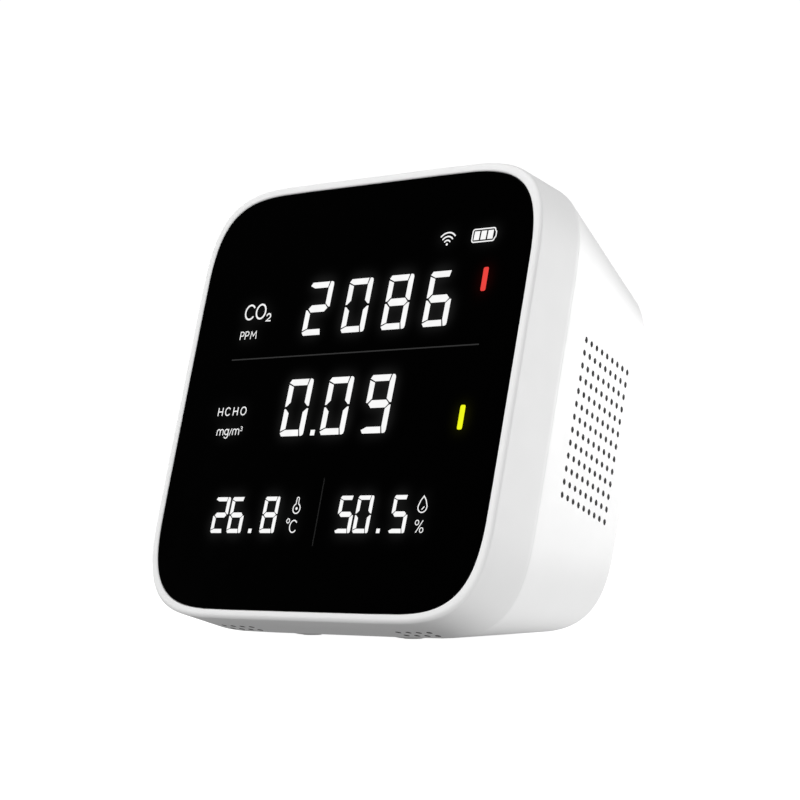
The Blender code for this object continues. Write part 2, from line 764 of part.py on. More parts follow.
def underside():
    for name, x, y in feet():
        profile = [
            (0.0, FOOT_HEIGHT),
            (FOOT_RADIUS, FOOT_HEIGHT),
            (FOOT_RADIUS, 0.25),
            (FOOT_RADIUS - 0.4, 0.0),
            (0.0, 0.0),
        ]
        turned("foot_" + name, profile, (x, y, 0.0), GREY_RUBBER, "u", 16, parent=None)
    bearing = FOOT_PROUD + FOOT_RECESS + SCREW_SINK[1] - 0.25
    for name, side in (("left", -1), ("right", 1)):
        place = (side * FOOT_X, FRONT_FOOT_Y, bearing)
        screw("case_screw_" + name, place, (2.3, 0.9), (1.1, 5.4), "u", parent=None, flip=True)
    label_y = spread(BASE_Y, LABEL_HALF[1])
    box("rating_label", spread(0.0, LABEL_HALF[0]), label_y, LABEL_Z, LABEL_PAPER, parent=None)


# ---------------------------------------------------------------- electronics


def main_board():
    holes = [circle(x, u, 1.3, 8) for _, x, u in corners(*PCB_BOSS)]
    plate("main_pcb", [rounded_rectangle(*MAIN_PCB_HALF, 2.0)] + holes, MAIN_PCB, GREEN_BOARD)
    for name, x, u in corners(*PCB_BOSS):
        screw("pcb_screw_" + name, (x, PCB_FRONT, u), (1.8, 1.1), (0.85, 5.6), flip=True)

    part_on_board("wifi_board", WIFI_BOARD, BLACK_BOARD)
    shield_foot = PCB_REAR + WIFI_BOARD[2] + GAP
    part_on_board("wifi_shield", WIFI_SHIELD, STEEL, shield_foot, bevel=0.3)
    buzzer = [(0.0, 3.6), (0.9, 3.6), (0.9, 4.5), (4.5, 4.5), (4.8, 4.2), (4.8, 0.0), (0.0, 0.0)]
    turned("buzzer", buzzer, (BUZZER_PLACE[0], PCB_REAR, BUZZER_PLACE[1]), BLACK_CHIP)
    part_on_board("main_chip", MAIN_CHIP, BLACK_CHIP, bevel=0.2)
    part_on_board("charger_coil", CHARGER_COIL, BLACK_CHIP, bevel=0.6)


def port_outline(margin):
    """The port's rounded outline, grown by margin."""
    half_x, half_u = PORT_SIZE[0] / 2 + margin, PORT_SIZE[1] / 2 + margin
    return rounded_rectangle(half_x, half_u, half_u - 0.01, u=PORT_U)


def charging_port():
    outer = plate_mesh("usb_c_shell", [port_outline(0.0)], (PCB_REAR, PORT_END))
    shell = settle(outer, STEEL, FACE)
    floor_n = PCB_REAR + PORT_FLOOR
    cut(shell, plate_mesh("port_mouth", [port_outline(-PORT_WALL)], (floor_n, PORT_END + 1.0)))
    half_x, half_u, short = PORT_TONGUE
    tongue = (floor_n + GAP, PORT_END - short)
    box("usb_c_tongue", spread(0.0, half_x), tongue, spread(PORT_U, half_u), BLACK_CHIP)


def keys():
    for name, side in (("power", -1), ("mode", 1)):
        place = (side * KEY_X, HEAD_DEPTH, KEY_U)
        top = KEY_PROUD
        profile = [
            (0.0, top),
            (KEY_RADIUS - 0.3, top),
            (KEY_RADIUS, top - 0.3),
            (KEY_RADIUS, KEY_FLANGE[1] - HEAD_DEPTH),
            (KEY_FLANGE_RADIUS, KEY_FLANGE[1] - HEAD_DEPTH),
            (KEY_FLANGE_RADIUS, KEY_FLANGE[0] - HEAD_DEPTH),
            (0.0, KEY_FLANGE[0] - HEAD_DEPTH),
        ]
        turned(name + "_key", profile, place, WHITE_KEY)

        x, u = spread(side * KEY_X, SWITCH_HALF), spread(KEY_U, SWITCH_HALF)
        body = box(name + "_switch", x, (PCB_REAR, SWITCH_TOP), u, BLACK_CHIP)
        well = (PLUNGER[0] - 0.8, SWITCH_TOP + 1.0)
        centre = (side * KEY_X, middle(well), KEY_U)
        cut(body, rod_object(name + "_switch_well", PLUNGER_RADIUS + GAP, centre, length(well)))
        centre = (side * KEY_X, middle(PLUNGER), KEY_U)
        rod(name + "_switch_plunger", PLUNGER_RADIUS, centre, length(PLUNGER), STEEL)


def co2_sensor():
    """An infrared absorption module on a small board, standing on two header strips."""
    board = box("co2_board", CO2_X, CO2_BOARD, CO2_U, GREEN_BOARD)
    for name, x in (("left", CO2_X[0] + 2.0), ("right", CO2_X[1] - 2.0)):
        strip_n = (middle(CO2_BOARD), PCB_FRONT)
        join(board, box_object("co2_header_" + name, spread(x, 1.2), strip_n, CO2_HEADER_U))
    x = (CO2_X[0] + 1.5, CO2_X[1] - 1.5)
    u = (CO2_U[0] + 1.0, CO2_U[1] - 1.0)
    box("co2_chamber", x, CO2_CHAMBER, u, GOLD, bevel=1.0)
    box("co2_filter", *CO2_FILTER, WHITE_FILTER)


def formaldehyde_sensor():
    """An electrochemical cell: a can on a round base with a membrane window."""
    x, u = HCHO_PLACE
    base_radius, base_height = HCHO_BASE
    centre = (x, PCB_FRONT - base_height / 2, u)
    rod("hcho_base", base_radius, centre, base_height, GREEN_BOARD, sides=24)
    foot = PCB_FRONT - base_height - GAP
    radius, height = HCHO_CAN
    edge = 1.2
    profile = [(0.0, height), (radius - edge, height), (radius, height - edge), (radius, 0.0), (0.0, 0.0)]
    can = turned("hcho_can", profile, (x, foot, u), CREAM_PLASTIC, sides=24)
    can.rotation_euler.rotate_axis("X", math.pi)
    window_radius, window_height = HCHO_WINDOW
    window_n = foot - height - GAP - window_height / 2
    rod("hcho_membrane", window_radius, (x, window_n, u), window_height, WHITE_FILTER, sides=20)


def climate_sensor():
    """Temperature and humidity chip on its own board, with a cable to the main board."""
    box("climate_board", *CLIMATE_BOARD, GREEN_BOARD)
    chip_x = spread(BOTTOM_VENT_X, VENT_PITCH / 2)
    box("climate_chip", chip_x, BOTTOM_VENT_N, CLIMATE_CHIP_U, BLACK_CHIP)
    socket = (PCB_FRONT - 2.4, PCB_FRONT)
    socket_x, socket_u = CLIMATE_SOCKET
    box("climate_socket", spread(socket_x, 2.5), socket, spread(socket_u, 2.0), WHITE_BOX)
    path = [
        (19.5, 13.5, -39.0),
        (19.5, 13.5, -33.0),
        (8.0, 13.5, -22.0),
        (socket_x, 14.0, -12.5),
        (socket_x, 32.0, -12.5),
        (socket_x, 33.5, socket_u),
        (socket_x, socket[0] - GAP, socket_u),
    ]
    wire("climate_cable", bend_points(path), CABLE_RADIUS, GREY_WIRE)


def battery():
    ends = CELL_LENGTH / 2
    cap_radius, cap_height = CELL_CAP
    edge = 0.8
    profile = [
        (0.0, ends),
        (cap_radius, ends),
        (cap_radius, ends - cap_height),
        (CELL_RADIUS - edge, ends - cap_height),
        (CELL_RADIUS, ends - cap_height - edge),
        (CELL_RADIUS, -ends + edge),
        (CELL_RADIUS - edge, -ends),
        (0.0, -ends),
    ]
    turned("battery_cell", profile, (0.0, CELL_N, CELL_U), BLUE_CELL, "x", 24)
    foam = (CELL_N + CELL_RADIUS + GAP, PCB_FRONT)
    foam_x, foam_u = spread(0.0, CELL_FOAM_HALF[0]), spread(CELL_U, CELL_FOAM_HALF[1])
    box("battery_foam", foam_x, foam, foam_u, GREY_FOAM)

    x, u = BATTERY_SOCKET
    socket = (33.4, PCB_FRONT)
    box("battery_socket", spread(x, 3.0), socket, spread(u, 2.3), WHITE_BOX)
    plug = (30.4, socket[0] - GAP)
    box("battery_plug", spread(x, 2.7), plug, spread(u, 2.0), WHITE_BOX, bevel=0.3)
    start = ends + 1.0
    for name, shift, material in (("red", 1.0, RED_WIRE), ("black", -1.0, BLACK_WIRE)):
        path = [
            (start, CELL_N + 1.5 * shift, CELL_U - 1.0),
            (start + 1.2, CELL_N + 1.5 * shift, CELL_U + 4.0),
            (start + 1.0, CELL_N + 1.5 * shift, CELL_U + 9.0),
            (x + 8.0, CELL_N + 1.5 * shift, u - 4.0),
            (x + shift, plug[0] - 3.0, u),
            (x + shift, plug[0] - GAP, u),
        ]
        wire("battery_wire_" + name, bend_points(path), BATTERY_LEAD_RADIUS, material)


def display_ribbon():
    """A flat cable that hangs in a U between a socket on each board."""
    board = DISPLAY_PCB[1] + GAP
    front = (board, board + RIBBON_SOCKET)
    rear = (PCB_FRONT - RIBBON_SOCKET, PCB_FRONT)
    x = (RIBBON_X[0] - 1.5, RIBBON_X[1] + 1.5)
    u = spread(RIBBON_U, 2.0)
    box("ribbon_socket_display", x, front, u, CREAM_PLASTIC, bevel=0.2)
    box("ribbon_socket_main", x, rear, u, CREAM_PLASTIC, bevel=0.2)

    start, end = middle(front), middle(rear)
    top = u[0] - GAP
    low = top - RIBBON_SAG
    path = bend_points([(0.0, start, top), (0.0, start, low), (0.0, end, low), (0.0, end, top)], steps=6)
    shape = bmesh.new()
    edges = [
        [shape.verts.new(Vector((side, point.y, point.z)) * MM) for point in path] for side in RIBBON_X
    ]
    for i in range(len(path) - 1):
        shape.faces.new((edges[0][i], edges[0][i + 1], edges[1][i + 1], edges[1][i]))
    ribbon = bpy.data.objects.new("display_ribbon", mesh_from("display_ribbon", shape))
    settle(ribbon, WHITE_RIBBON, FACE)
    thickness = ribbon.modifiers.new("thickness", "SOLIDIFY")
    thickness.thickness = RIBBON_THICKNESS * MM
    thickness.offset = 0.0


front_bezel()
front_lens()
lens_tape()
display_film()
light_box()
display_board()
rear_housing()
dust_screens()
underside()
main_board()
charging_port()
keys()
co2_sensor()
formaldehyde_sensor()
climate_sensor()
battery()
display_ribbon()
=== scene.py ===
"""Looks of the air quality monitor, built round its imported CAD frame.

Lengths are millimetres, turned into metres where a mesh or an object is made. Most pieces are drawn in the
head's own axes: x to the right, n rearward from the front face and u up along the face.
"""

import json
import math

import bmesh
import bpy
import numpy as np
from mathutils import Matrix, Vector


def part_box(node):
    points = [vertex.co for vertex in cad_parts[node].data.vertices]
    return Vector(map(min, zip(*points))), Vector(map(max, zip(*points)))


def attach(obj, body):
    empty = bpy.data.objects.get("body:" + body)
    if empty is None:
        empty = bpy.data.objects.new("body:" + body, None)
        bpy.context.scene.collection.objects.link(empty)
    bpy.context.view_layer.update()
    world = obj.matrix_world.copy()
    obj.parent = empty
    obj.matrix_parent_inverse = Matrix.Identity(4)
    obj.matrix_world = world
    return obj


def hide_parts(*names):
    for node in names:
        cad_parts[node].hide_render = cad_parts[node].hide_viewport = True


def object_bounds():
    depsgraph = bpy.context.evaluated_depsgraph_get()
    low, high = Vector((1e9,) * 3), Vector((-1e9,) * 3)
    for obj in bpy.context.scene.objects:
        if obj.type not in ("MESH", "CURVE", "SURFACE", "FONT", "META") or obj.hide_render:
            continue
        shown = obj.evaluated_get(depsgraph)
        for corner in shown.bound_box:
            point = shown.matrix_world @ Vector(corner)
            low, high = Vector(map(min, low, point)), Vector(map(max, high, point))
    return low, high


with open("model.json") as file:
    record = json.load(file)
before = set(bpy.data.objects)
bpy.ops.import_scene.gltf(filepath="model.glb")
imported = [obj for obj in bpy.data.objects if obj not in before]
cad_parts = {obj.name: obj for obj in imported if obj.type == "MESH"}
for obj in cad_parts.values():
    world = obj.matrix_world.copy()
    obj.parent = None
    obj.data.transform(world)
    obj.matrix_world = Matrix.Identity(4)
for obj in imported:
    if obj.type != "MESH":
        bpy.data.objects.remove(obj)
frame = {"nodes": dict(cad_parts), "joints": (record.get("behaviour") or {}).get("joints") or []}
cad_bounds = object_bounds()

MM = 0.001
BODY = "monitor"

# ---------------- the head's axes, from the frame

key_joint = next(joint for joint in frame["joints"] if joint["name"] == "power_key_press")
RIGHT = Vector((1.0, 0.0, 0.0))
REAR = -Vector(key_joint["axis"]).normalized()
UP = RIGHT.cross(REAR)
TILT = math.asin(UP.y)
LENS_FRONT = 0.05
LENS_BACK = 1.8

lens_low, lens_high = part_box("front_lens")
FACE = (lens_low + lens_high) / 2 - REAR * (LENS_FRONT + LENS_BACK) / 2 * MM
HEAD = Matrix.Translation(FACE) @ Matrix((RIGHT, REAR, UP)).transposed().to_4x4()


def reach(node, axis):
    """The node's lowest and highest distance from the middle of the face along an axis, in millimetres."""
    distances = [(vertex.co - FACE).dot(axis) / MM for vertex in frame["nodes"][node].data.vertices]
    return min(distances), max(distances)


def middle_of(node):
    low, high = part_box(node)
    return (low + high) / 2


def to_head(point):
    """A world point in the head's axes, in millimetres."""
    return HEAD.inverted() @ point / MM


HEAD_WIDTH = 2 * reach("front_bezel", RIGHT)[1]
HEAD_HEIGHT = 2 * reach("front_bezel", UP)[1]
HEAD_DEPTH = reach("rear_housing", REAR)[1]

# Head: shape of the outline and of its section
BAND_DEPTH = 12.2
TOP_TAPER = math.radians(14.4)
SIDE_TAPER = math.radians(12.3)
CORNER_FRONT = 26.2
CORNER_BACK = 19.9
POWER_FRONT = 3.8
POWER_BACK = 3.3
CORNER_STEPS = 40
WALL = 2.0
EDGE_RECESS = 0.35  # how far the parting faces lie inside the outline
REAR_ROUND = 3.0
RIM_WIDTH = 1.7
RIM_ROUND = 0.85
RIM_LIP = 0.4
LENS_INSET = 1.78
LENS_EDGE = 0.12
LEDGE = (2.6, 4.4)
LEDGE_INSET = 8.2
CREASE = 0.9  # length of the crease's curve on each side of the parting line
CREASE_STEPS = 5
WALL_STEPS = 5
SEAM = 0.04
HOLD = 0.04  # distance of the loops that keep the shading of flat faces flat
LIP_FRONT = 10.8
LIP_INSET = (2.3, 3.4)
LIP_ROOT = (13.2, 14.6)  # depths where the lip's inside slopes out to the wall's

# Fastening, feet and keys
GAP = 0.3
DISPLAY_BOSS_RADIUS = 2.5
PCB_BOSS_RADIUS = 2.7
PILOT_RADIUS = 1.15
DISPLAY_PILOT = (5.0, 8.6)  # depths n of the screw holes
PCB_PILOT = (39.0, 44.2)
BACK_OPENING = (44.0, 50.0)
TONGUE_BACK = 20.0
TONGUE_U = (37.3, 39.9)
LUG_HALF_WIDTH = 3.5
LUG_FRONT_U = -38.0
LUG_REACH = 3.2
LUG_Z = (4.6, 7.6)
LUG_HOLE_Z = (3.0, 9.0)
CASE_HOLE_Z = (-1.0, 7.3)
CASE_HOLE_RADIUS = 1.4
SCREW_PAD_RADIUS = 4.2
SCREW_SINK_RADIUS = 2.6
SCREW_SINK_Z = (-0.1, 2.7)
FOOT_RECESS_RADIUS = 4.3
FOOT_RECESS_Z = (-0.7, 1.3)
FOOT_DOME = 0.65
CELL_RIB_X = 22.0
CELL_RIB_HALF = (1.2, 8.0)  # across and along the cell's width
CELL_RIB_DROP = 3.0  # from the cell's axis down to the ribs' tops
CRADLE_LENGTH = 60.0
FLOOR_Z = 1.5  # inside the floor's thickness, where ribs and pads start
KEY_RADIUS = 3.3
KEY_EDGE = 0.35
KEY_DISH = 0.22
KEY_FLANGE = (4.4, 1.0)  # radius and thickness
PORT_WALL = 0.3
PORT_FLOOR = 0.7
PORT_LIP = 0.1
TONGUE_CHAMFER = (0.12, 0.15)  # across and along the tongue's tip
CONTACTS = 8
CONTACT_PITCH = 0.75
CONTACT_HALF = (0.14, 0.04)
CONTACT_BACK = (3.2, 0.5)  # the strips' ends, from the tongue's tip

# Vents
VENT_PITCH = 2.5
VENT_COLUMNS = 9
VENT_ROWS = 13
VENT_RADIUS = 0.6
VENT_SIDES = 16
VENT_CUT = 6.0  # length of the cutters
SIDE_LENGTH = (HEAD_DEPTH - BAND_DEPTH) / math.cos(SIDE_TAPER)
BOTTOM_VENT_X = 22.6
BOTTOM_VENT_N = (7.7, 10.2)
BOTTOM_VENT_COLUMNS = 4

# Display
PRINT = (0.02, 0.04)  # depths n of the lit marks, just proud of the glass
CAP_STEPS = 5
SEGMENTS_OF = {"0": "abcdef", "2": "abged", "5": "afgcd", "6": "afgedc", "8": "abcdefg", "9": "abcdfg"}
SLANT = 0.024
HAZE_REACH = 1.3
HAZE_LEVEL = 0.022
HAZE_CELL = 0.5
HAZE_HALF = (37.0, 34.0)

# Stage: floor as the camera sees it and as it lights the object, which glows more to the right
FLOOR_HALF = 6.0  # metres
FLOOR_SEEN = 0.5
FLOOR_LIGHT = 0.9
FLOOR_BOUNCE = 0.1
FLOOR_GLOW = (0.24, 0.84)
FLOOR_GLOW_REACH = (0.019, 0.035)
FLOOR_GLOW_AZIMUTH = 110.0
WORLD_LIGHT = 0.25
WORLD_SEEN = 1.05

# Camera, fitted to the photograph
CAMERA_LENS = 109.14
CAMERA_ANGLES = (41.08, -3.07)  # azimuth and elevation in degrees
CAMERA_AIM = (-2.3, -1.0, 1.4)  # from the object's middle
CAMERA_DISTANCE = 0.48  # metres

# ---------------- materials


def link(source, target):
    target.id_data.links.new(source, target)


def new_material(name):
    material = bpy.data.materials.new(name)
    material.use_nodes = True
    tree = material.node_tree
    return material, tree, tree.nodes["Principled BSDF"]


def texture(tree, kind, scale):
    """A texture in the object's own space, with scale in features per metre."""
    place = tree.nodes.new("ShaderNodeTexCoord")
    made = tree.nodes.new("ShaderNodeTex" + kind)
    made.inputs["Scale"].default_value = scale
    link(place.outputs["Object"], made.inputs["Vector"])
    return made


def noise(tree, scale, detail=3.0):
    made = texture(tree, "Noise", scale)
    made.inputs["Detail"].default_value = detail
    return made.outputs["Fac"]


def spread(tree, factor, low, high):
    """Maps a noise's middle range onto low to high."""
    mapping = tree.nodes.new("ShaderNodeMapRange")
    mapping.inputs["From Min"].default_value = 0.3
    mapping.inputs["From Max"].default_value = 0.7
    mapping.inputs["To Min"].default_value = low
    mapping.inputs["To Max"].default_value = high
    link(factor, mapping.inputs["Value"])
    return mapping.outputs["Result"]


def tint(tree, factor, first, second):
    mix = tree.nodes.new("ShaderNodeMix")
    mix.data_type = "RGBA"
    mix.inputs["A"].default_value = (*first, 1.0)
    mix.inputs["B"].default_value = (*second, 1.0)
    link(factor, mix.inputs["Factor"])
    return mix.outputs["Result"]


def bump(tree, shader, height, depth):
    """Raises the surface by height times depth, with depth in millimetres."""
    relief = tree.nodes.new("ShaderNodeBump")
    relief.inputs["Distance"].default_value = depth * MM
    link(height, relief.inputs["Height"])
    link(relief.outputs["Normal"], shader.inputs["Normal"])


def moulded(name, colour, roughness, grain=0.25, depth=0.004, variation=0.03, uneven=0.045):
    """Plastic or rubber with a fine grain (size in millimetres), uneven gloss and faint mottling."""
    material, tree, shader = new_material(name)
    dark = tuple(channel * (1 - variation) for channel in colour)
    light = tuple(min(1.0, channel * (1 + variation)) for channel in colour)
    mottling = spread(tree, noise(tree, 90.0), 0.0, 1.0)
    link(tint(tree, mottling, dark, light), shader.inputs["Base Color"])
    gloss = spread(tree, noise(tree, 260.0), roughness - uneven, roughness + uneven)
    link(gloss, shader.inputs["Roughness"])
    bump(tree, shader, noise(tree, 1 / (grain * MM), detail=2.0), depth)
    return material


def wave(tree, axis, pitch):
    """Fine parallel ridges, pitch millimetres apart."""
    ridges = texture(tree, "Wave", 2 * math.pi / (20 * pitch * MM))
    ridges.bands_direction = axis
    return ridges.outputs["Fac"]


def combine(tree, operation, first, second):
    maths = tree.nodes.new("ShaderNodeMath")
    maths.operation = operation
    link(first, maths.inputs[0])
    if isinstance(second, float):
        maths.inputs[1].default_value = second
    else:
        link(second, maths.inputs[1])
    return maths.outputs["Value"]


def woven(name, thread, hole, pitch, roughness=0.8):
    """A fine screen: threads across the world's Y and Z with dark holes between them."""
    material, tree, shader = new_material(name)
    threads = combine(tree, "MAXIMUM", wave(tree, "Y", pitch), wave(tree, "Z", pitch))
    link(tint(tree, threads, hole, thread), shader.inputs["Base Color"])
    link(spread(tree, noise(tree, 300.0), roughness - 0.1, roughness), shader.inputs["Roughness"])
    bump(tree, shader, threads, 0.08)
    return material


def solder_mask(name, mask, track):
    """A circuit board: glossy mask over raised tracks that follow square cells, with a faint weave."""
    material, tree, shader = new_material(name)
    cells = texture(tree, "Voronoi", 420.0)
    cells.distance = "MANHATTAN"
    edges = combine(tree, "PINGPONG", cells.outputs["Distance"], 0.22)
    tracks = combine(tree, "GREATER_THAN", edges, 0.12)
    link(tint(tree, tracks, mask, track), shader.inputs["Base Color"])
    link(spread(tree, noise(tree, 500.0), 0.25, 0.4), shader.inputs["Roughness"])
    height = combine(tree, "ADD", tracks, combine(tree, "MULTIPLY", noise(tree, 2500.0), 0.3))
    bump(tree, shader, height, 0.03)
    return material


def brushed(name, colour, roughness, pitch=0.06, metallic=1.0):
    """Metal with fine parallel tool marks, or a ribbed film."""
    material, tree, shader = new_material(name)
    marks = combine(tree, "MULTIPLY", wave(tree, "X", pitch), noise(tree, 3000.0))
    darker = tuple(channel * 0.8 for channel in colour)
    link(tint(tree, marks, colour, darker), shader.inputs["Base Color"])
    gloss = spread(tree, noise(tree, 900.0), roughness - 0.06, roughness + 0.1)
    link(gloss, shader.inputs["Roughness"])
    shader.inputs["Metallic"].default_value = metallic
    bump(tree, shader, marks, 0.004)
    return material


def cellular(name, colour, pore, depth):
    """Foam, felt or filter fleece: pores of the given size in millimetres."""
    material, tree, shader = new_material(name)
    pores = texture(tree, "Voronoi", 1 / (pore * MM)).outputs["Distance"]
    dark = tuple(channel * 0.45 for channel in colour)
    link(tint(tree, pores, dark, colour), shader.inputs["Base Color"])
    link(spread(tree, noise(tree, 700.0), 0.85, 1.0), shader.inputs["Roughness"])
    bump(tree, shader, pores, depth)
    return material


def printed_light(name, colour, strength):
    """A lit mark of the display, a little uneven as a real segment is over its lamp."""
    material, tree, shader = new_material(name)
    shader.inputs["Base Color"].default_value = (0.0, 0.0, 0.0, 1.0)
    shader.inputs["Roughness"].default_value = 0.4
    shader.inputs["Specular IOR Level"].default_value = 0.1
    shader.inputs["Emission Color"].default_value = (*colour, 1.0)
    level = spread(tree, noise(tree, 450.0), strength * 0.93, strength)
    link(level, shader.inputs["Emission Strength"])
    return material


def lens_glass():
    """Black anti-glare glass; the attribute glow holds the haze that the lit segments leave round them."""
    material, tree, shader = new_material("black_lens_finish")
    shader.inputs["Base Color"].default_value = (0.0, 0.0, 0.0, 1.0)
    shader.inputs["IOR"].default_value = 1.07
    link(spread(tree, noise(tree, 120.0), 0.1, 0.16), shader.inputs["Roughness"])
    glow = tree.nodes.new("ShaderNodeAttribute")
    glow.attribute_name = "glow"
    link(glow.outputs["Color"], shader.inputs["Emission Color"])
    shader.inputs["Emission Strength"].default_value = 1.0
    bump(tree, shader, noise(tree, 6000.0), 0.0004)
    return material


FINISHES = {"black_lens": lens_glass()}
for slot, kind, *values in (
    ("white_shell", moulded, (0.8, 0.8, 0.8), 0.52, 0.22, 0.006, 0.006, 0.02),
    # The side vents' bores are painted shade: their walls are the shell's white plastic, coloured dark grey
    # for the shade inside the holes
    ("vent_bore", moulded, (0.2, 0.2, 0.2), 0.7, 0.3, 0.006),
    # The bottom vents' bores are painted shade too, nearly black, though their walls are the same white
    # plastic
    ("dark_bore", moulded, (0.05, 0.05, 0.05), 0.8, 0.3, 0.006),
    ("white_key", moulded, (0.76, 0.76, 0.77), 0.36, 0.2, 0.003, 0.01),
    ("grey_rubber", moulded, (0.58, 0.58, 0.58), 0.8, 0.3, 0.02, 0.05),
    ("black_chip", moulded, (0.025, 0.025, 0.027), 0.55, 0.1, 0.006, 0.2),
    ("dark_film", moulded, (0.02, 0.02, 0.022), 0.3, 0.08, 0.002),
    ("white_reflector", moulded, (0.78, 0.78, 0.76), 0.5, 0.3, 0.01),
    ("cream_plastic", moulded, (0.74, 0.69, 0.57), 0.48, 0.2, 0.008),
    ("blue_cell", moulded, (0.02, 0.12, 0.36), 0.28, 0.9, 0.01),
    ("red_wire", moulded, (0.55, 0.015, 0.015), 0.42, 0.4, 0.01, 0.1),
    ("black_wire", moulded, (0.02, 0.02, 0.02), 0.42, 0.4, 0.01, 0.1),
    ("grey_wire", moulded, (0.32, 0.32, 0.33), 0.5, 0.4, 0.01, 0.1),
    ("steel", brushed, (0.62, 0.62, 0.63), 0.3),
    ("gold_chamber", brushed, (0.83, 0.62, 0.26), 0.28),
    ("white_ribbon", brushed, (0.78, 0.8, 0.84), 0.5, 1.0, 0.0),
    ("label_paper", cellular, (0.74, 0.74, 0.73), 0.12, 0.01),
    ("black_tape", cellular, (0.03, 0.03, 0.03), 0.2, 0.02),
    ("white_filter", cellular, (0.85, 0.85, 0.83), 0.15, 0.05),
    ("grey_foam", cellular, (0.16, 0.16, 0.17), 0.5, 0.2),
    ("black_board", solder_mask, (0.012, 0.012, 0.015), (0.03, 0.03, 0.036)),
    ("green_board", solder_mask, (0.01, 0.11, 0.04), (0.03, 0.2, 0.08)),
    ("grey_screen", woven, (0.05, 0.05, 0.05), (0.004, 0.004, 0.004), 0.25),
):
    FINISHES[slot] = kind(slot + "_finish", *values)

LIT_WHITE = printed_light("lit_white", (1.0, 1.0, 1.0), 0.98)
LIT_RED = printed_light("lit_red", (0.85, 0.055, 0.045), 1.0)
LIT_YELLOW = printed_light("lit_yellow", (0.92, 0.98, 0.006), 1.0)
DIM_LINE = printed_light("dim_line", (1.0, 1.0, 1.0), 0.026)
FAINT_LINE = printed_light("faint_line", (1.0, 1.0, 1.0), 0.004)

for node in frame["nodes"].values():
    node.data.materials[0] = FINISHES[node.data.materials[0].name]

# ---------------- outlines


def quarter(extent, power):
    """Points (x, u) of a superellipse quarter from its right end to its top, turning evenly."""
    points = []
    for step in range(CORNER_STEPS + 1):
        turn = step / CORNER_STEPS * math.pi / 2
        x = abs(math.cos(turn)) ** (1 / (power - 1))
        u = abs(math.sin(turn)) ** (1 / (power - 1))
        size = (x**power + u**power) ** (1 / power)
        points.append((extent * x / size, extent * u / size))
    return points


def head_outline(n=0.0, inset=0.0):
    """Anticlockwise (x, u) outline of the head at depth n, moved in by inset."""
    back = max(0.0, n - BAND_DEPTH)
    share = back / (HEAD_DEPTH - BAND_DEPTH)
    half_x = HEAD_WIDTH / 2 - back * math.tan(SIDE_TAPER) - inset
    half_up = HEAD_HEIGHT / 2 - back * math.tan(TOP_TAPER) - inset
    half_down = HEAD_HEIGHT / 2 - back * math.tan(TILT) - inset
    extent = CORNER_FRONT + share * (CORNER_BACK - CORNER_FRONT) - inset
    corner = quarter(extent, POWER_FRONT + share * (POWER_BACK - POWER_FRONT))
    points = []
    corners = ((1, half_up), (-1, half_up), (-1, -half_down), (1, -half_down))
    for side, half_u in corners:
        sign = 1 if half_u > 0 else -1
        for x, u in corner if side == sign else reversed(corner):
            points.append((side * (half_x - extent + x), half_u - sign * (extent - u)))
    return points


def arc_stations(inset, n, radius, start, end, steps):
    """(inset, n) points on a circle about (inset, n); angle 0 points outward and 90 degrees rearward."""
    stations = []
    for step in range(steps + 1):
        angle = math.radians(start + (end - start) * step / steps)
        stations.append((inset - radius * math.cos(angle), n + radius * math.sin(angle)))
    return stations


def crease_inset(distance):
    """How far the crease's curve lies inside the sharp corner, at a distance from the parting line."""
    share = max(0.0, 1 - abs(distance) / CREASE)
    return CREASE * math.tan(SIDE_TAPER / 2) / 2 * share**2


# ---------------- mesh helpers


def finish_mesh(name, shape, smooth_angle=32.0):
    bmesh.ops.recalc_face_normals(shape, faces=shape.faces)
    mesh = bpy.data.meshes.new(name)
    shape.to_mesh(mesh)
    shape.free()
    mesh.shade_smooth()
    mesh.set_sharp_from_angle(angle=math.radians(smooth_angle))
    return mesh


def add_object(name, data):
    obj = bpy.data.objects.new(name, data)
    bpy.context.scene.collection.objects.link(obj)
    return obj


def new_object(name, mesh, matrix=HEAD):
    """An object whose mesh is turned into world axes by the matrix."""
    mesh.transform(matrix)
    return add_object(name, mesh)


def as_piece(obj, slot, body=BODY, node=None, material=None):
    """Gives the object its slot's finish, or another material, and its body, in place of a CAD node."""
    obj.data.materials.clear()
    obj.data.materials.append(material or FINISHES[slot])
    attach(obj, body)
    if node:
        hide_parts(node)


def bridge(shape, rings):
    """Quads between each ring of vertices and the next."""
    for ring, following in zip(rings, rings[1:]):
        for i in range(len(ring)):
            j = (i + 1) % len(ring)
            shape.faces.new((ring[i], ring[j], following[j], following[i]))


def add_rings(shape, rings, closed=False):
    """Joins rings of (x, n, u) points; closed joins last to first, else both ends are capped."""
    made = [[shape.verts.new(Vector(point) * MM) for point in ring] for ring in rings]
    if closed:
        made.append(made[0])
    else:
        shape.faces.new(made[0])
        shape.faces.new(made[-1])
    bridge(shape, made)


def loft(stations, closed):
    """The head's outlines at (inset, n) stations, joined."""
    shape = bmesh.new()
    add_rings(shape, [[(x, n, u) for x, u in head_outline(n, inset)] for inset, n in stations], closed)
    return shape


def add_prism(shape, matrix, radius, depth, sides=VENT_SIDES):
    bmesh.ops.create_cone(
        shape,
        cap_ends=True,
        segments=sides,
        radius1=radius * MM,
        radius2=radius * MM,
        depth=depth * MM,
        matrix=matrix,
    )


def at(x, n, u):
    return Matrix.Translation(Vector((x, n, u)) * MM)


ALONG_N = Matrix.Rotation(-math.pi / 2, 4, "X")


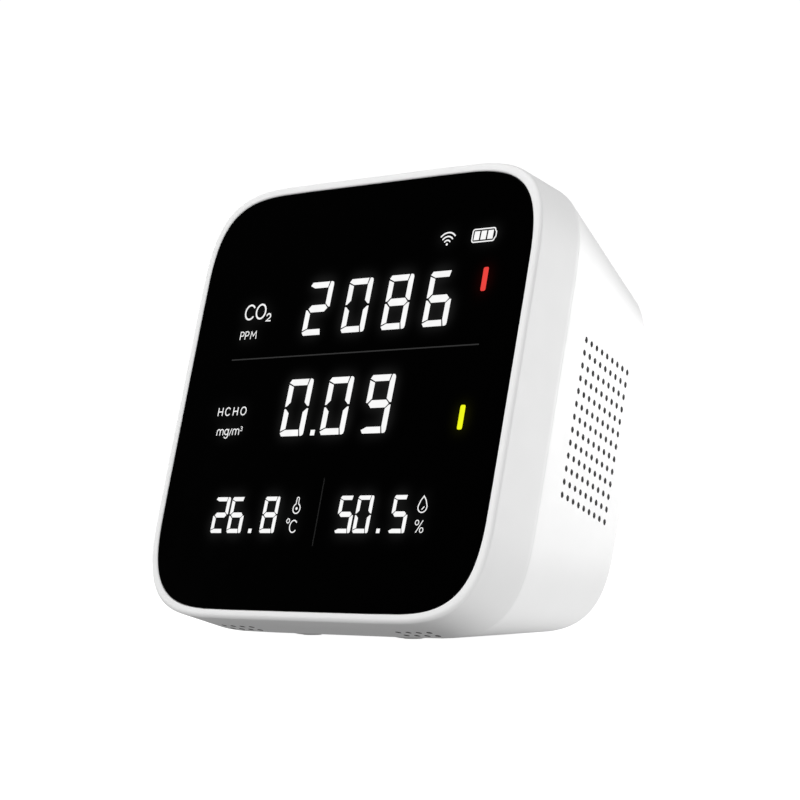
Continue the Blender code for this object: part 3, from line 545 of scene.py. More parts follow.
def turned(name, profile, foot, sides=64, axis=REAR):
    """Turns (radius, height) points about an axis through foot, a world point."""
    shape = bmesh.new()
    points = [shape.verts.new((radius * MM, 0.0, height * MM)) for radius, height in profile]
    edges = [shape.edges.new(pair) for pair in zip(points, points[1:])]
    bmesh.ops.spin(
        shape,
        geom=points + edges,
        axis=(0.0, 0.0, 1.0),
        angle=2 * math.pi,
        steps=sides,
        use_merge=True,
    )
    bmesh.ops.remove_doubles(shape, verts=shape.verts, dist=1e-7)
    turn = Vector((0.0, 0.0, 1.0)).rotation_difference(axis).to_matrix().to_4x4()
    return new_object(name, finish_mesh(name, shape), Matrix.Translation(foot) @ turn)


def combine_solids(obj, shape, operation, finish="white_shell", matrix=HEAD):
    """Joins or cuts the object with a bmesh; faces that come from the bmesh take the given finish."""
    name = obj.name + "_" + operation.lower()
    mesh = bpy.data.meshes.new(name)
    bmesh.ops.recalc_face_normals(shape, faces=shape.faces)
    shape.to_mesh(mesh)
    shape.free()
    mesh.materials.append(FINISHES[finish])
    other = new_object(name, mesh, matrix)
    step = obj.modifiers.new(name, "BOOLEAN")
    step.operation = operation
    step.solver = "EXACT"
    step.material_mode = "TRANSFER"
    step.object = other
    bpy.context.view_layer.update()
    graph = bpy.context.evaluated_depsgraph_get()
    result = bpy.data.meshes.new_from_object(obj.evaluated_get(graph))
    obj.modifiers.clear()
    obj.data = result
    bpy.data.objects.remove(other, do_unlink=True)


def add_box(shape, x, n, u):
    """A block by its spans."""
    made = bmesh.ops.create_cube(shape, size=1.0)
    size = Vector((x[1] - x[0], n[1] - n[0], u[1] - u[0])) * MM
    bmesh.ops.scale(shape, vec=size, verts=made["verts"])
    centre = Vector((sum(x), sum(n), sum(u))) / 2 * MM
    bmesh.ops.translate(shape, vec=centre, verts=made["verts"])


def add_post(shape, x, u, n, radius, sides=40):
    """A round post along n between two depths."""
    add_prism(shape, at(x, (n[0] + n[1]) / 2, u) @ ALONG_N, radius, n[1] - n[0], sides)


def add_upright(shape, x, y, z, radius, sides=32):
    """A round post along world Z between two heights."""
    add_prism(shape, at(x, y, (z[0] + z[1]) / 2), radius, z[1] - z[0], sides)


def around(centre, half):
    """A span by its middle and half its length."""
    return (centre - half, centre + half)


# ---------------- shells


def rounded_slot(half_x, half_u, radius, u, steps=8):
    points = []
    for corner_index in range(4):
        corner_x = (half_x - radius) * (1, -1, -1, 1)[corner_index]
        corner_u = u + (half_u - radius) * (1, 1, -1, -1)[corner_index]
        for step in range(steps + 1):
            angle = (corner_index + step / steps) * math.pi / 2
            points.append((corner_x + radius * math.cos(angle), corner_u + radius * math.sin(angle)))
    return points


def screw_places(prefix):
    return [to_head(middle_of(node)) for node in sorted(frame["nodes"]) if node.startswith(prefix)]


def foot_place(end):
    """The place of the right-hand foot, in world millimetres."""
    return middle_of(f"foot_{end}_right") / MM


def front_bezel():
    lip = arc_stations(RIM_WIDTH - RIM_LIP, RIM_LIP, -RIM_LIP, 0.0, 90.0, 8)
    rim = arc_stations(RIM_ROUND, RIM_ROUND, RIM_ROUND, -90.0, 0.0, 10)
    band = [(0.0, n) for n in (RIM_ROUND + HOLD, 5.0, BAND_DEPTH - CREASE - HOLD)]
    for step in range(CREASE_STEPS + 1):
        distance = CREASE * (1 - step / CREASE_STEPS)
        band.append((crease_inset(distance), BAND_DEPTH - distance))
    inner = [(EDGE_RECESS, BAND_DEPTH), (WALL, BAND_DEPTH), (WALL, LEDGE[1])]
    ledge = [(LEDGE_INSET, LEDGE[1]), (LEDGE_INSET, LEDGE[0]), (RIM_WIDTH, LEDGE[0])]
    shape = loft(lip + rim + band + inner + ledge, closed=True)
    bezel = shell_from(shape, "bezel_shell")

    root = sum(LEDGE) / 2
    screws = screw_places("display_screw_")
    board = reach("display_pcb", REAR)[0]
    added = bmesh.new()
    for screw in screws:
        add_post(added, screw.x, screw.z, (root, board - GAP), DISPLAY_BOSS_RADIUS)
    foot = foot_place("front")
    for side in (-1, 1):
        add_box(added, around(side * foot.x, LUG_HALF_WIDTH), (root, TONGUE_BACK), TONGUE_U)
    combine_solids(bezel, added, "UNION")
    added = bmesh.new()
    front = (HEAD @ (Vector((0.0, root, LUG_FRONT_U)) * MM)).y / MM
    for side in (-1, 1):
        add_box(added, around(side * foot.x, LUG_HALF_WIDTH), (front, foot.y + LUG_REACH), LUG_Z)
    combine_solids(bezel, added, "UNION", matrix=Matrix())

    holes = bmesh.new()
    for side in (-1, 1):
        add_upright(holes, side * foot.x, foot.y, LUG_HOLE_Z, CASE_HOLE_RADIUS)
    combine_solids(bezel, holes, "DIFFERENCE", matrix=Matrix())
    holes = bmesh.new()
    for screw in screws:
        add_post(holes, screw.x, screw.z, DISPLAY_PILOT, PILOT_RADIUS)
    combine_solids(bezel, holes, "DIFFERENCE")

    cutter = bmesh.new()
    first = -(BOTTOM_VENT_COLUMNS - 1) / 2
    for side in (-1, 1):
        for column in range(BOTTOM_VENT_COLUMNS):
            x = side * BOTTOM_VENT_X + (first + column) * VENT_PITCH
            for n in BOTTOM_VENT_N:
                add_prism(cutter, at(x, n, -HEAD_HEIGHT / 2 + WALL / 2), VENT_RADIUS, VENT_CUT)
    # The bottom vents' walls take painted shade, nearly black instead of the shell's white
    combine_solids(bezel, cutter, "DIFFERENCE", "dark_bore")
    finish_shell(bezel, "front_bezel")


def shell_from(shape, name):
    shell = new_object(name, finish_mesh(name, shape))
    shell.data.materials.append(FINISHES["white_shell"])
    return shell


def finish_shell(shell, node):
    shell.data.shade_smooth()
    shell.data.set_sharp_from_angle(angle=math.radians(32.0))
    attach(shell, BODY)
    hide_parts(node)


def side_frame(side):
    """Local x rearward along a side wall, local y along u and local z across the wall."""
    along = Vector((-side * math.sin(SIDE_TAPER), math.cos(SIDE_TAPER), 0.0))
    up = Vector((0.0, 0.0, 1.0))
    turn = Matrix((along, up, along.cross(up))).transposed().to_4x4()
    return at(side * HEAD_WIDTH / 2, BAND_DEPTH, 0.0) @ turn


def rear_housing():
    seam = BAND_DEPTH + SEAM
    wall_in = HEAD_DEPTH - WALL
    inner = [(WALL, wall_in), (WALL, LIP_ROOT[1]), (LIP_INSET[1], LIP_ROOT[0]), (LIP_INSET[1], LIP_FRONT)]
    lip = [(LIP_INSET[0], LIP_FRONT), (LIP_INSET[0], seam), (EDGE_RECESS, seam)]
    outer = []
    for step in range(CREASE_STEPS + 1):
        distance = CREASE * step / CREASE_STEPS
        outer.append((crease_inset(distance), seam + distance))
    wall_start = seam + CREASE + HOLD
    round_start = HEAD_DEPTH - REAR_ROUND
    for step in range(WALL_STEPS + 1):
        outer.append((0.0, wall_start + (round_start - HOLD - wall_start) * step / WALL_STEPS))
    back = arc_stations(REAR_ROUND, round_start, REAR_ROUND, 0.0, 90.0, 12)
    back.append((REAR_ROUND + HOLD, HEAD_DEPTH))
    shape = loft(inner + lip + outer + back, closed=False)
    housing = shell_from(shape, "housing_shell")
    housing_inside(housing)

    cutter = bmesh.new()
    first_s = (SIDE_LENGTH - (VENT_COLUMNS - 1) * VENT_PITCH) / 2
    first_u = -(VENT_ROWS - 1) / 2 * VENT_PITCH
    for side in (-1, 1):
        for column in range(VENT_COLUMNS):
            for row in range(VENT_ROWS):
                s = first_s + column * VENT_PITCH
                u = first_u + row * VENT_PITCH
                add_prism(cutter, side_frame(side) @ at(s, u, 0.0), VENT_RADIUS, VENT_CUT)
    # The vents' walls take painted shade, dark grey instead of the shell's white
    combine_solids(housing, cutter, "DIFFERENCE", "vent_bore")
    finish_shell(housing, "rear_housing")


def housing_inside(housing):
    """Bosses, cell ribs and screw pads, and the openings for screws, feet, keys and port."""
    screws = screw_places("pcb_screw_")
    board = reach("main_pcb", REAR)[1] + GAP
    added = bmesh.new()
    for screw in screws:
        add_post(added, screw.x, screw.z, (board, HEAD_DEPTH - WALL / 2), PCB_BOSS_RADIUS)
    combine_solids(housing, added, "UNION")

    cell = middle_of("battery_cell") / MM
    cell_radius = (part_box("battery_cell")[1].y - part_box("battery_cell")[0].y) / 2 / MM + GAP
    foot = foot_place("front")
    added = bmesh.new()
    for side in (-1, 1):
        rib_x = around(side * CELL_RIB_X, CELL_RIB_HALF[0])
        add_box(added, rib_x, around(cell.y, CELL_RIB_HALF[1]), (FLOOR_Z, cell.z - CELL_RIB_DROP))
        add_upright(added, side * foot.x, foot.y, (FLOOR_Z, LUG_Z[0] - GAP), SCREW_PAD_RADIUS)
    combine_solids(housing, added, "UNION", matrix=Matrix())
    cradle = bmesh.new()
    across = Matrix.Translation(cell * MM) @ Matrix.Rotation(math.pi / 2, 4, "Y")
    add_prism(cradle, across, cell_radius, CRADLE_LENGTH, 64)
    combine_solids(housing, cradle, "DIFFERENCE", matrix=Matrix())

    sinks = bmesh.new()
    holes = bmesh.new()
    recesses = bmesh.new()
    for side in (-1, 1):
        add_upright(sinks, side * foot.x, foot.y, SCREW_SINK_Z, SCREW_SINK_RADIUS)
        add_upright(holes, side * foot.x, foot.y, CASE_HOLE_Z, CASE_HOLE_RADIUS)
        for end in ("front", "rear"):
            add_upright(recesses, side * foot.x, foot_place(end).y, FOOT_RECESS_Z, FOOT_RECESS_RADIUS, 64)
    for cutter in (recesses, sinks, holes):
        combine_solids(housing, cutter, "DIFFERENCE", matrix=Matrix())

    openings = bmesh.new()
    for name in ("power_key", "mode_key"):
        key = to_head(middle_of(name))
        add_post(openings, key.x, key.z, BACK_OPENING, KEY_RADIUS + GAP, 64)
    port = to_head(middle_of("usb_c_shell"))
    add_rings(openings, [[(x, n, port.z + u) for x, u in port_outline(GAP)] for n in BACK_OPENING])
    for screw in screws:
        add_post(openings, screw.x, screw.z, PCB_PILOT, PILOT_RADIUS)
    combine_solids(housing, openings, "DIFFERENCE")


def port_outline(margin):
    """The charging port's outline, grown by margin, about its own middle."""
    low, high = reach("usb_c_shell", RIGHT)
    bottom, top = reach("usb_c_shell", UP)
    half_x = (high - low) / 2 + margin
    half_u = (top - bottom) / 2 + margin
    return rounded_slot(half_x, half_u, half_u - 0.01, 0.0, 12)


# ---------------- display


def arc(x, u, radius_x, radius_u, start, end, steps=20):
    """Points on an ellipse about (x, u); angles in degrees, anticlockwise from the right."""
    points = []
    for step in range(steps + 1):
        angle = math.radians(start + (end - start) * step / steps)
        points.append((x + radius_x * math.cos(angle), u + radius_u * math.sin(angle)))
    return points


class Mark:
    """A group of flat marks in one material, kept as a mesh and, for the haze of their colour, as patches."""

    def __init__(self, name, material, colour=(1.0, 1.0, 1.0)):
        self.name = name
        self.material = material
        self.colour = colour
        self.shape = bmesh.new()
        self.patches = []

    def area(self, outline):
        add_rings(self.shape, [[(x, n, u) for x, u in outline] for n in PRINT])
        self.patches.append(outline)

    def stroke(self, points, width, closed=False):
        """A line of even width through points, with round ends or closed on itself."""
        path = [Vector(point) for point in points]
        count = len(path)
        stations = []
        for i, here in enumerate(path):
            before = path[i - 1] if closed or i else here
            after = path[(i + 1) % count] if closed or i < count - 1 else here
            arriving = (here - before).normalized()
            leaving = (after - here).normalized()
            heading = (arriving + leaving).normalized()
            sharpness = max(0.5, heading.dot(leaving if leaving.length else arriving))
            stations.append((here, heading, width / 2 / sharpness))
        if not closed:
            start, heading, half = stations[0]
            end, end_heading, _ = stations[-1]
            angles = [math.radians(84 * (1 - step / CAP_STEPS)) for step in range(CAP_STEPS)]
            first = [(start - heading * half * math.sin(a), heading, half * math.cos(a)) for a in angles]
            last = [
                (end + end_heading * half * math.sin(a), end_heading, half * math.cos(a))
                for a in reversed(angles)
            ]
            stations = first + stations + last
        rows = []
        for place, heading, half in stations:
            across = Vector((-heading.y, heading.x)) * half
            rows.append((place + across, place - across))
        self.strip(rows, closed)

    def ring(self, x, u, radius_x, radius_u, width, steps=20):
        """A closed line round an ellipse."""
        self.stroke(arc(x, u, radius_x, radius_u, 0.0, 360.0, steps)[:-1], width, closed=True)

    def dot(self, x, u, radius):
        self.area(arc(x, u, radius, radius, 0.0, 360.0, 16)[:-1])

    def strip(self, rows, closed):
        """A closed thin solid along pairs of left and right points."""
        corners = []
        for left, right in rows:
            places = [(point.x, n, point.y) for n in PRINT for point in (left, right)]
            corners.append([self.shape.verts.new(Vector(place) * MM) for place in places])
        pairs = list(zip(rows, rows[1:], corners, corners[1:]))
        if closed:
            pairs.append((rows[-1], rows[0], corners[-1], corners[0]))
        for row, following, these, those in pairs:
            front_left, front_right, back_left, back_right = these
            next_front_left, next_front_right, next_back_left, next_back_right = those
            self.shape.faces.new((front_left, front_right, next_front_right, next_front_left))
            self.shape.faces.new((back_right, back_left, next_back_left, next_back_right))
            self.shape.faces.new((front_right, back_right, next_back_right, next_front_right))
            self.shape.faces.new((back_left, front_left, next_front_left, next_back_left))
            self.patches.append([tuple(row[0]), tuple(row[1]), tuple(following[1]), tuple(following[0])])
        if not closed:
            for front_left, front_right, back_left, back_right in (corners[0], corners[-1]):
                self.shape.faces.new((front_left, front_right, back_right, back_left))

    def make(self):
        obj = new_object(self.name, finish_mesh(self.name, self.shape))
        as_piece(obj, "black_lens", material=self.material)


def digit_segments(width, height, bar):
    """Outlines of a digit's seven segments, x from its left edge and u from its bottom edge."""
    middle = height / 2
    inner = width - bar
    top = [(0.4 * bar, 0.0), (width - 0.96 * bar, 0.0), (width - 1.2 * bar, bar)]
    top += [(bar, bar), (0.0, 0.54 * bar)]
    right = [
        (width - 0.7 * bar, 0.0),
        (width - 0.36 * bar, 0.0),
        (width - 0.1 * bar, 0.15 * bar),
        (width, 0.46 * bar),
        (width, middle - 0.2 * bar),
        (width - 0.32 * bar, middle - 0.2 * bar),
        (inner, middle - 0.8 * bar),
        (inner, 1.07 * bar),
    ]
    left = [
        (0.0, 0.8 * bar),
        (bar, 1.2 * bar),
        (bar, middle - 0.86 * bar),
        (0.28 * bar, middle - 0.2 * bar),
        (0.0, middle - 0.2 * bar),
    ]
    waist = [
        (0.48 * bar, middle),
        (1.06 * bar, middle - 0.6 * bar),
        (width - 1.03 * bar, middle - 0.6 * bar),
        (width - 0.44 * bar, middle),
        (width - 1.03 * bar, middle + 0.6 * bar),
        (1.06 * bar, middle + 0.6 * bar),
    ]
    upper = {"a": top, "b": right, "f": left, "g": waist}
    segments = {key: [(x, height - y) for x, y in outline] for key, outline in upper.items()}
    return segments | {"d": top, "c": right, "e": left}


def write_number(mark, text, x, u, pitch, width, height, bar):
    """Digits at a fixed pitch from the lower left corner (x, u); a point takes the cell it stands in."""
    segments = digit_segments(width, height, bar)
    for index, character in enumerate(text):
        left = x + index * pitch
        for key in SEGMENTS_OF.get(character, ""):
            mark.area([(left + px + SLANT * pu, u + pu) for px, pu in segments[key]])


def point_mark(mark, x, u, size):
    """A decimal point with its lower left corner at (x, u)."""
    mark.area([(x, u), (x + size, u), (x + size + SLANT * size, u + size), (x + SLANT * size, u + size)])


def co2_row():
    mark = Mark("display_co2", LIT_WHITE)
    write_number(mark, "2086", -12.5, 12.08, 10.3, 6.08, 10.95, 1.22)

    # CO2 above the unit
    mark.stroke(arc(-27.85, 17.88, 1.3, 1.5, 42.0, 318.0), 0.35)
    mark.ring(-24.86, 17.88, 1.27, 1.5, 0.35)
    two = arc(-22.47, 16.78, 0.52, 0.5, 165.0, -35.0, 12) + [(-23.0, 15.8), (-21.85, 15.8)]
    mark.stroke(two, 0.27)
    for x in (-29.35, -28.0):
        bowl = arc(x + 0.5, 13.35, 0.42, 0.43, 90.0, -90.0, 10)
        mark.stroke([(x, 12.25), (x, 13.78)] + bowl + [(x + 0.16, 12.92)], 0.19)
    m = [(-26.5, 12.25), (-26.35, 13.75), (-25.75, 12.8), (-25.1, 13.75), (-24.95, 12.25)]
    mark.stroke(m, 0.19)
    mark.make()
    return mark


def small_m(mark, x, u, width, height, line):
    """A lower case m in one stroke, from its left foot."""
    half = width / 2
    first = arc(x + half / 2, u + height - half / 2, half / 2, half / 2, 180.0, 0.0, 8)
    second = arc(x + half * 1.5, u + height - half / 2, half / 2, half / 2, 180.0, 0.0, 8)
    mark.stroke([(x, u)] + first + [(x + half, u)], line)
    mark.stroke(second + [(x + width, u)], line)


def formaldehyde_row():
    mark = Mark("display_formaldehyde", LIT_WHITE)
    write_number(mark, "009", -13.35, -8.4, 10.55, 6.28, 11.52, 1.27)
    point_mark(mark, -5.2, -8.4, 1.1)

    # HCHO above the unit
    low, high = -3.6, -2.1
    line = 0.21
    for x in (-31.4, -27.2):
        mark.stroke([(x, low), (x, high)], line)
        mark.stroke([(x + 1.15, low), (x + 1.15, high)], line)
        mark.stroke([(x + 0.15, (low + high) / 2), (x + 1.0, (low + high) / 2)], line)
    mark.stroke(arc(-28.75, (low + high) / 2, 0.68, 0.8, 42.0, 318.0), line)
    mark.ring(-24.45, (low + high) / 2, 0.72, 0.8, line)

    small_m(mark, -30.7, -7.68, 1.7, 1.15, 0.19)
    mark.ring(-28.1, -7.08, 0.5, 0.55, 0.19)
    tail = [(-27.57, -6.55), (-27.6, -7.85)] + arc(-28.1, -7.85, 0.5, 0.5, -5.0, -150.0, 8)
    mark.stroke(tail, 0.19)
    mark.stroke([(-27.22, -7.8), (-26.72, -6.45)], 0.16)
    small_m(mark, -26.35, -7.68, 1.7, 1.15, 0.19)
    three = arc(-24.1, -6.28, 0.22, 0.2, 140.0, -90.0, 8) + arc(-24.1, -6.72, 0.25, 0.24, 90.0, -140.0, 8)[1:]
    mark.stroke(three, 0.12)
    mark.make()
    return mark


def temperature_group():
    mark = Mark("display_temperature", LIT_WHITE)
    write_number(mark, "26 8", -27.3, -27.68, 4.45, 3.9, 7.2, 0.82)
    point_mark(mark, -16.9, -27.68, 0.84)
    bulb = (-5.13, -22.88)
    mark.stroke(arc(*bulb, 0.9, 0.97, 113.0, 427.0, 28), 0.21)
    neck = arc(bulb[0], -20.95, 0.28, 0.3, 180.0, 0.0, 8)
    mark.stroke([(bulb[0] - 0.32, -21.95)] + neck + [(bulb[0] + 0.32, -21.95)], 0.18)
    mark.dot(*bulb, 0.27)
    mark.ring(-6.72, -25.3, 0.38, 0.42, 0.17, 16)
    mark.stroke(arc(-5.15, -26.38, 0.92, 1.18, 42.0, 318.0), 0.22)
    mark.make()
    return mark


def humidity_group():
    mark = Mark("display_humidity", LIT_WHITE)
    write_number(mark, "50 5", 5.67, -27.68, 4.46, 3.9, 7.2, 0.82)
    point_mark(mark, 16.1, -27.68, 0.84)
    drop = arc(26.33, -22.78, 1.06, 1.02, 150.0, 390.0, 20)
    flank = [(26.33 + 0.62, -21.5), (26.33, -20.72), (26.33 - 0.62, -21.5)]
    mark.stroke(drop + flank, 0.21, closed=True)
    mark.stroke([(26.28, -23.2), (26.72, -22.75)], 0.2)
    mark.ring(25.67, -25.7, 0.42, 0.45, 0.16, 16)
    mark.ring(26.95, -27.12, 0.42, 0.45, 0.16, 16)
    mark.stroke([(25.7, -27.52), (27.0, -25.35)], 0.18)
    mark.make()
    return mark


def status_icons():
    mark = Mark("display_icons", LIT_WHITE)
    # radio waves over a dot
    x, u = 21.2, 28.35
    mark.dot(x, u, 0.24)
    for radius, spread_angle in ((0.82, 50.0), (1.58, 48.0), (2.36, 46.0)):
        mark.stroke(arc(x, u, radius, radius, 90.0 + spread_angle, 90.0 - spread_angle, 16), 0.28)

    # battery with three bars
    left, right, low, high = 27.22, 32.6, 28.22, 30.76
    round_off = 0.45
    nub = 0.3
    outline = arc(right - round_off, high - round_off, round_off, round_off, 90.0, 0.0, 6)
    outline += [(right + nub, (low + high) / 2 + 0.45), (right + nub, (low + high) / 2 - 0.45)]
    outline += arc(right - round_off, low + round_off, round_off, round_off, 0.0, -90.0, 6)
    outline += arc(left + round_off, low + round_off, round_off, round_off, -90.0, -180.0, 6)
    outline += arc(left + round_off, high - round_off, round_off, round_off, 180.0, 90.0, 6)
    mark.stroke(outline, 0.24, closed=True)
    for index in range(3):
        x = 27.62 + index * 1.63
        mark.area([(x, 28.62), (x + 1.26, 28.62), (x + 1.32, 30.36), (x + 0.06, 30.36)])
    mark.make()
    return mark


def level_bars():
    marks = []
    half_width, half_height, radius = 0.6, 2.34, 0.35
    for name, material, colour, u in (
        ("display_bar_red", LIT_RED, (1.0, 0.06, 0.05), 20.7),
        ("display_bar_yellow", LIT_YELLOW, (0.9, 0.9, 0.02), -5.93),
    ):
        mark = Mark(name, material, colour)
        outline = rounded_slot(half_width, half_height, radius, u, 4)
        mark.area([(31.92 + x, point_u) for x, point_u in outline])
        mark.make()
        marks.append(mark)
    return marks


def divider_lines():
    across = Mark("display_divider_row", DIM_LINE, (0.0, 0.0, 0.0))
    across.area([(-30.5, 7.84), (33.2, 7.84), (33.2, 8.08), (-30.5, 8.08)])
    across.make()
    upright = Mark("display_divider_column", FAINT_LINE, (0.0, 0.0, 0.0))
    upright.area([(0.6, -30.2), (0.88, -30.2), (0.88, -17.0), (0.6, -17.0)])
    upright.make()


def haze(marks, xs, us):
    """The light that the lit marks scatter in the glass, on the grid of xs by us."""
    light = np.zeros((len(xs), len(us), 3))
    grid_x, grid_u = np.meshgrid(xs, us, indexing="ij")
    for mark in marks:
        for patch in mark.patches:
            inside = np.ones(grid_x.shape, bool)
            area = sum(p[0] * q[1] - q[0] * p[1] for p, q in zip(patch, patch[1:] + patch[:1])) / 2
            side = 1.0 if area > 0 else -1.0
            for (px, pu), (qx, qu) in zip(patch, patch[1:] + patch[:1]):
                inside &= side * ((qx - px) * (grid_u - pu) - (qu - pu) * (grid_x - px)) >= 0
            light[inside] = mark.colour
    spacing = xs[1] - xs[0]
    reach_cells = int(HAZE_REACH * 3 / spacing)
    offsets = np.arange(-reach_cells, reach_cells + 1) * spacing
    kernel = np.exp(-((offsets / HAZE_REACH) ** 2) / 2)
    kernel /= kernel.sum()
    for axis in (0, 1):
        light = np.apply_along_axis(lambda line: np.convolve(line, kernel, "same"), axis, light)
    return light * HAZE_LEVEL


def front_lens(marks):
    """The glass, with a fine grid on its front that carries the haze."""
    xs = np.arange(-HAZE_HALF[0], HAZE_HALF[0] + HAZE_CELL / 2, HAZE_CELL)
    us = np.arange(-HAZE_HALF[1], HAZE_HALF[1] + HAZE_CELL / 2, HAZE_CELL)
    light = haze(marks, xs, us)
    shape = bmesh.new()
    glow = shape.verts.layers.float_color.new("glow")
    grid = []
    for i, x in enumerate(xs):
        column = []
        for j, u in enumerate(us):
            vertex = shape.verts.new(Vector((x, LENS_FRONT, u)) * MM)
            vertex[glow] = (*light[i, j], 1.0)
            column.append(vertex)
        grid.append(column)
    for first, second in zip(grid, grid[1:]):
        for j in range(len(us) - 1):
            shape.faces.new((first[j], second[j], second[j + 1], first[j + 1]))
    border = [edge for edge in shape.edges if edge.is_boundary]

    edge_round = arc_stations(LENS_INSET + LENS_EDGE, LENS_FRONT + LENS_EDGE, LENS_EDGE, -90.0, 0.0, 4)
    rings = []
    for inset, n in [(LENS_INSET + LENS_EDGE + HOLD, LENS_FRONT)] + edge_round + [(LENS_INSET, LENS_BACK)]:
        rings.append([shape.verts.new(Vector((x, n, u)) * MM) for x, u in head_outline(0.0, inset)])
    bridge(shape, rings)
    shape.faces.new(rings[-1])
    outer = [shape.edges.get((rings[0][i - 1], rings[0][i])) for i in range(len(rings[0]))]
    bmesh.ops.triangle_fill(shape, use_beauty=True, edges=border + outer)
    for ring in rings:
        for vertex in ring:
            vertex[glow] = (0.0, 0.0, 0.0, 1.0)
    lens = new_object("lens_glass", finish_mesh("lens_glass", shape, 60.0))
    as_piece(lens, "black_lens", node="front_lens")


# ---------------- rear details


def key_caps():
    """Dished caps with a soft edge, a straight skirt and the flange that holds them in."""
    flange_radius, flange_thickness = KEY_FLANGE
    for name in ("power_key", "mode_key"):
        low, high = reach(name, REAR)
        centre = to_head(middle_of(name))
        foot = HEAD @ (Vector((centre.x, high, centre.z)) * MM)
        height = high - low
        profile = [(KEY_RADIUS * 0.8 * step / 8, -KEY_DISH * (1 - (step / 8) ** 2)) for step in range(9)]
        for degrees in range(0, 91, 15):
            angle = math.radians(degrees)
            profile.append((KEY_RADIUS - KEY_EDGE * (1 - math.sin(angle)), KEY_EDGE * (math.cos(angle) - 1)))
        profile += [(KEY_RADIUS, flange_thickness - height), (flange_radius, flange_thickness - height)]
        profile += [(flange_radius, -height), (0.0, -height)]
        cap = turned(name + "_cap", profile, foot)
        as_piece(cap, "white_key", name, name)


def rubber_feet():
    for node in sorted(frame["nodes"]):
        if not node.startswith("foot_"):
            continue
        low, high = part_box(node)
        centre = (low + high) / 2
        radius = (high.x - low.x) / 2 / MM
        height = (high.z - low.z) / MM
        groove = [(radius * 0.24, 0.0), (radius * 0.28, 0.1), (radius * 0.36, 0.1), (radius * 0.4, 0.0)]
        dome = []
        for degrees in range(30, 91, 6):
            angle = math.radians(degrees)
            dome.append((radius * math.sin(angle), FOOT_DOME * (1 - math.cos(angle))))
        profile = [(0.0, 0.0)] + groove + dome + [(radius, height), (0.0, height)]
        bottom = Vector((centre.x, centre.y, low.z))
        foot = turned(node + "_pad", profile, bottom, axis=Vector((0.0, 0.0, 1.0)))
        as_piece(foot, "grey_rubber", node=node)


def charging_port():
    """A drawn steel shell with a soft mouth, and its tongue with contact strips."""
    port = to_head(middle_of("usb_c_shell"))
    back, front = reach("usb_c_shell", REAR)
    stations = [(-PORT_LIP, back), (0.0, back + PORT_LIP), (0.0, front - PORT_LIP), (-PORT_LIP, front)]
    stations += [(-PORT_WALL + PORT_LIP, front), (-PORT_WALL, front - PORT_LIP)]
    stations.append((-PORT_WALL, back + PORT_FLOOR))
    shape = bmesh.new()
    add_rings(shape, [[(x, n, port.z + u) for x, u in port_outline(margin)] for margin, n in stations])
    shell = new_object("port_shell", finish_mesh("port_shell", shape))
    as_piece(shell, "steel", node="usb_c_shell")

    back, front = reach("usb_c_tongue", REAR)
    half_x = reach("usb_c_tongue", RIGHT)[1]
    half_u = (reach("usb_c_tongue", UP)[1] - reach("usb_c_tongue", UP)[0]) / 2
    stations = [(0.0, back), (0.0, front - TONGUE_CHAMFER[1]), (-TONGUE_CHAMFER[0], front)]
    shape = bmesh.new()
    rings = []
    for margin, n in stations:
        outline = rounded_slot(half_x + margin, half_u + margin, 0.1, port.z, 4)
        rings.append([(x, n, u) for x, u in outline])
    add_rings(shape, rings)
    tongue = new_object("port_tongue", finish_mesh("port_tongue", shape))
    as_piece(tongue, "black_chip", node="usb_c_tongue")

    shape = bmesh.new()
    for side in (-1, 1):
        for column in range(CONTACTS):
            x = (column - (CONTACTS - 1) / 2) * CONTACT_PITCH
            strip = around(port.z + side * half_u, CONTACT_HALF[1])
            add_box(shape, around(x, CONTACT_HALF[0]), [front - distance for distance in CONTACT_BACK], strip)
    contacts = new_object("port_contacts", finish_mesh("port_contacts", shape))
    as_piece(contacts, "gold_chamber")


# ---------------- stage


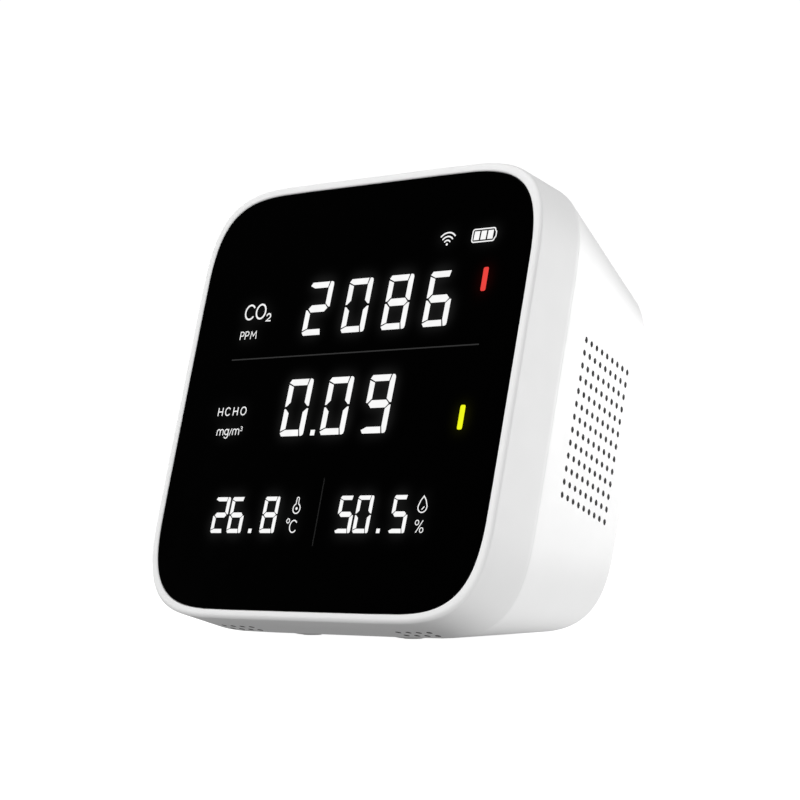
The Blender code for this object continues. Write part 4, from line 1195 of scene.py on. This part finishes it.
def stage():
    floor_mesh = bpy.data.meshes.new("floor")
    shape = bmesh.new()
    bmesh.ops.create_grid(shape, x_segments=2, y_segments=2, size=FLOOR_HALF)
    shape.to_mesh(floor_mesh)
    shape.free()
    floor = add_object("floor", floor_mesh)
    material, tree, shader = new_material("pale_floor")
    shader.inputs["Roughness"].default_value = 0.9
    shader.inputs["Specular IOR Level"].default_value = 0.0
    shader.inputs["Emission Color"].default_value = (1.0, 1.0, 1.0, 1.0)
    rays = tree.nodes.new("ShaderNodeLightPath")
    seen = rays.outputs["Is Camera Ray"]
    grey = tint(tree, seen, (FLOOR_BOUNCE,) * 3, (FLOOR_SEEN,) * 3)
    link(grey, shader.inputs["Base Color"])
    place = tree.nodes.new("ShaderNodeTexCoord")
    across = tree.nodes.new("ShaderNodeVectorMath")
    across.operation = "DOT_PRODUCT"
    across.inputs[1].default_value = direction(FLOOR_GLOW_AZIMUTH, 0.0)
    link(place.outputs["Object"], across.inputs[0])
    glow = tree.nodes.new("ShaderNodeMapRange")
    glow.inputs["From Min"].default_value, glow.inputs["From Max"].default_value = FLOOR_GLOW_REACH
    glow.inputs["To Min"].default_value, glow.inputs["To Max"].default_value = FLOOR_GLOW
    link(across.outputs["Value"], glow.inputs["Value"])
    level = tree.nodes.new("ShaderNodeMix")
    level.inputs["B"].default_value = FLOOR_LIGHT
    link(seen, level.inputs["Factor"])
    link(glow.outputs["Result"], level.inputs["A"])
    link(level.outputs["Result"], shader.inputs["Emission Strength"])
    floor_mesh.materials.append(material)

    world = bpy.data.worlds.new("studio")
    bpy.context.scene.world = world
    world.use_nodes = True
    tree = world.node_tree
    background = tree.nodes["Background"]
    background.inputs["Color"].default_value = (1.0, 1.0, 1.0, 1.0)
    rays = tree.nodes.new("ShaderNodeLightPath")
    level = tree.nodes.new("ShaderNodeMapRange")
    level.inputs["To Min"].default_value = WORLD_LIGHT
    level.inputs["To Max"].default_value = WORLD_SEEN
    link(rays.outputs["Is Camera Ray"], level.inputs["Value"])
    link(level.outputs["Result"], background.inputs["Strength"])


def face_from(obj, aim, away, distance):
    """Sets a light or camera away from the aim, facing it."""
    obj.location = aim + away * distance
    obj.rotation_mode = "QUATERNION"
    obj.rotation_quaternion = (-away).to_track_quat("-Z", "Y")


def soft_light(name, azimuth, elevation, distance, size, power, centre):
    """A soft box of the given width and height that faces the object; azimuth as for the camera."""
    data = bpy.data.lights.new(name, "AREA")
    data.shape = "RECTANGLE"
    data.size, data.size_y = size
    data.energy = power
    face_from(add_object(name, data), centre, direction(azimuth, elevation), distance)


def direction(azimuth, elevation):
    a, e = math.radians(azimuth), math.radians(elevation)
    return Vector((math.sin(a) * math.cos(e), -math.cos(a) * math.cos(e), math.sin(e)))


def camera(centre):
    data = bpy.data.cameras.new("camera")
    data.lens = CAMERA_LENS
    data.sensor_width = 36.0
    data.clip_start = 0.02
    view = add_object("camera", data)
    face_from(view, centre + Vector(CAMERA_AIM) * MM, direction(*CAMERA_ANGLES), CAMERA_DISTANCE)
    bpy.context.scene.camera = view


front_bezel()
rear_housing()
lit = [co2_row(), formaldehyde_row(), temperature_group(), humidity_group(), status_icons()] + level_bars()
divider_lines()
front_lens(lit)
key_caps()
rubber_feet()
charging_port()
stage()
object_centre = (cad_bounds[0] + cad_bounds[1]) / 2
soft_light("front_light", 2.0, 3.0, 1.6, (1.4, 0.2), 10.0, object_centre)
soft_light("rear_right_light", 160.0, 4.0, 1.6, (1.4, 0.3), 16.6, object_centre)
soft_light("rear_left_light", -115.0, 15.0, 1.0, (0.8, 0.4), 2.0, object_centre)
soft_light("left_light", -70.0, 8.0, 1.2, (0.7, 0.36), 2.7, object_centre)
soft_light("top_light", 0.0, 68.0, 1.0, (1.0, 0.8), 6.2, object_centre)
camera(object_centre)
bpy.context.scene.view_settings.view_transform = "Standard"
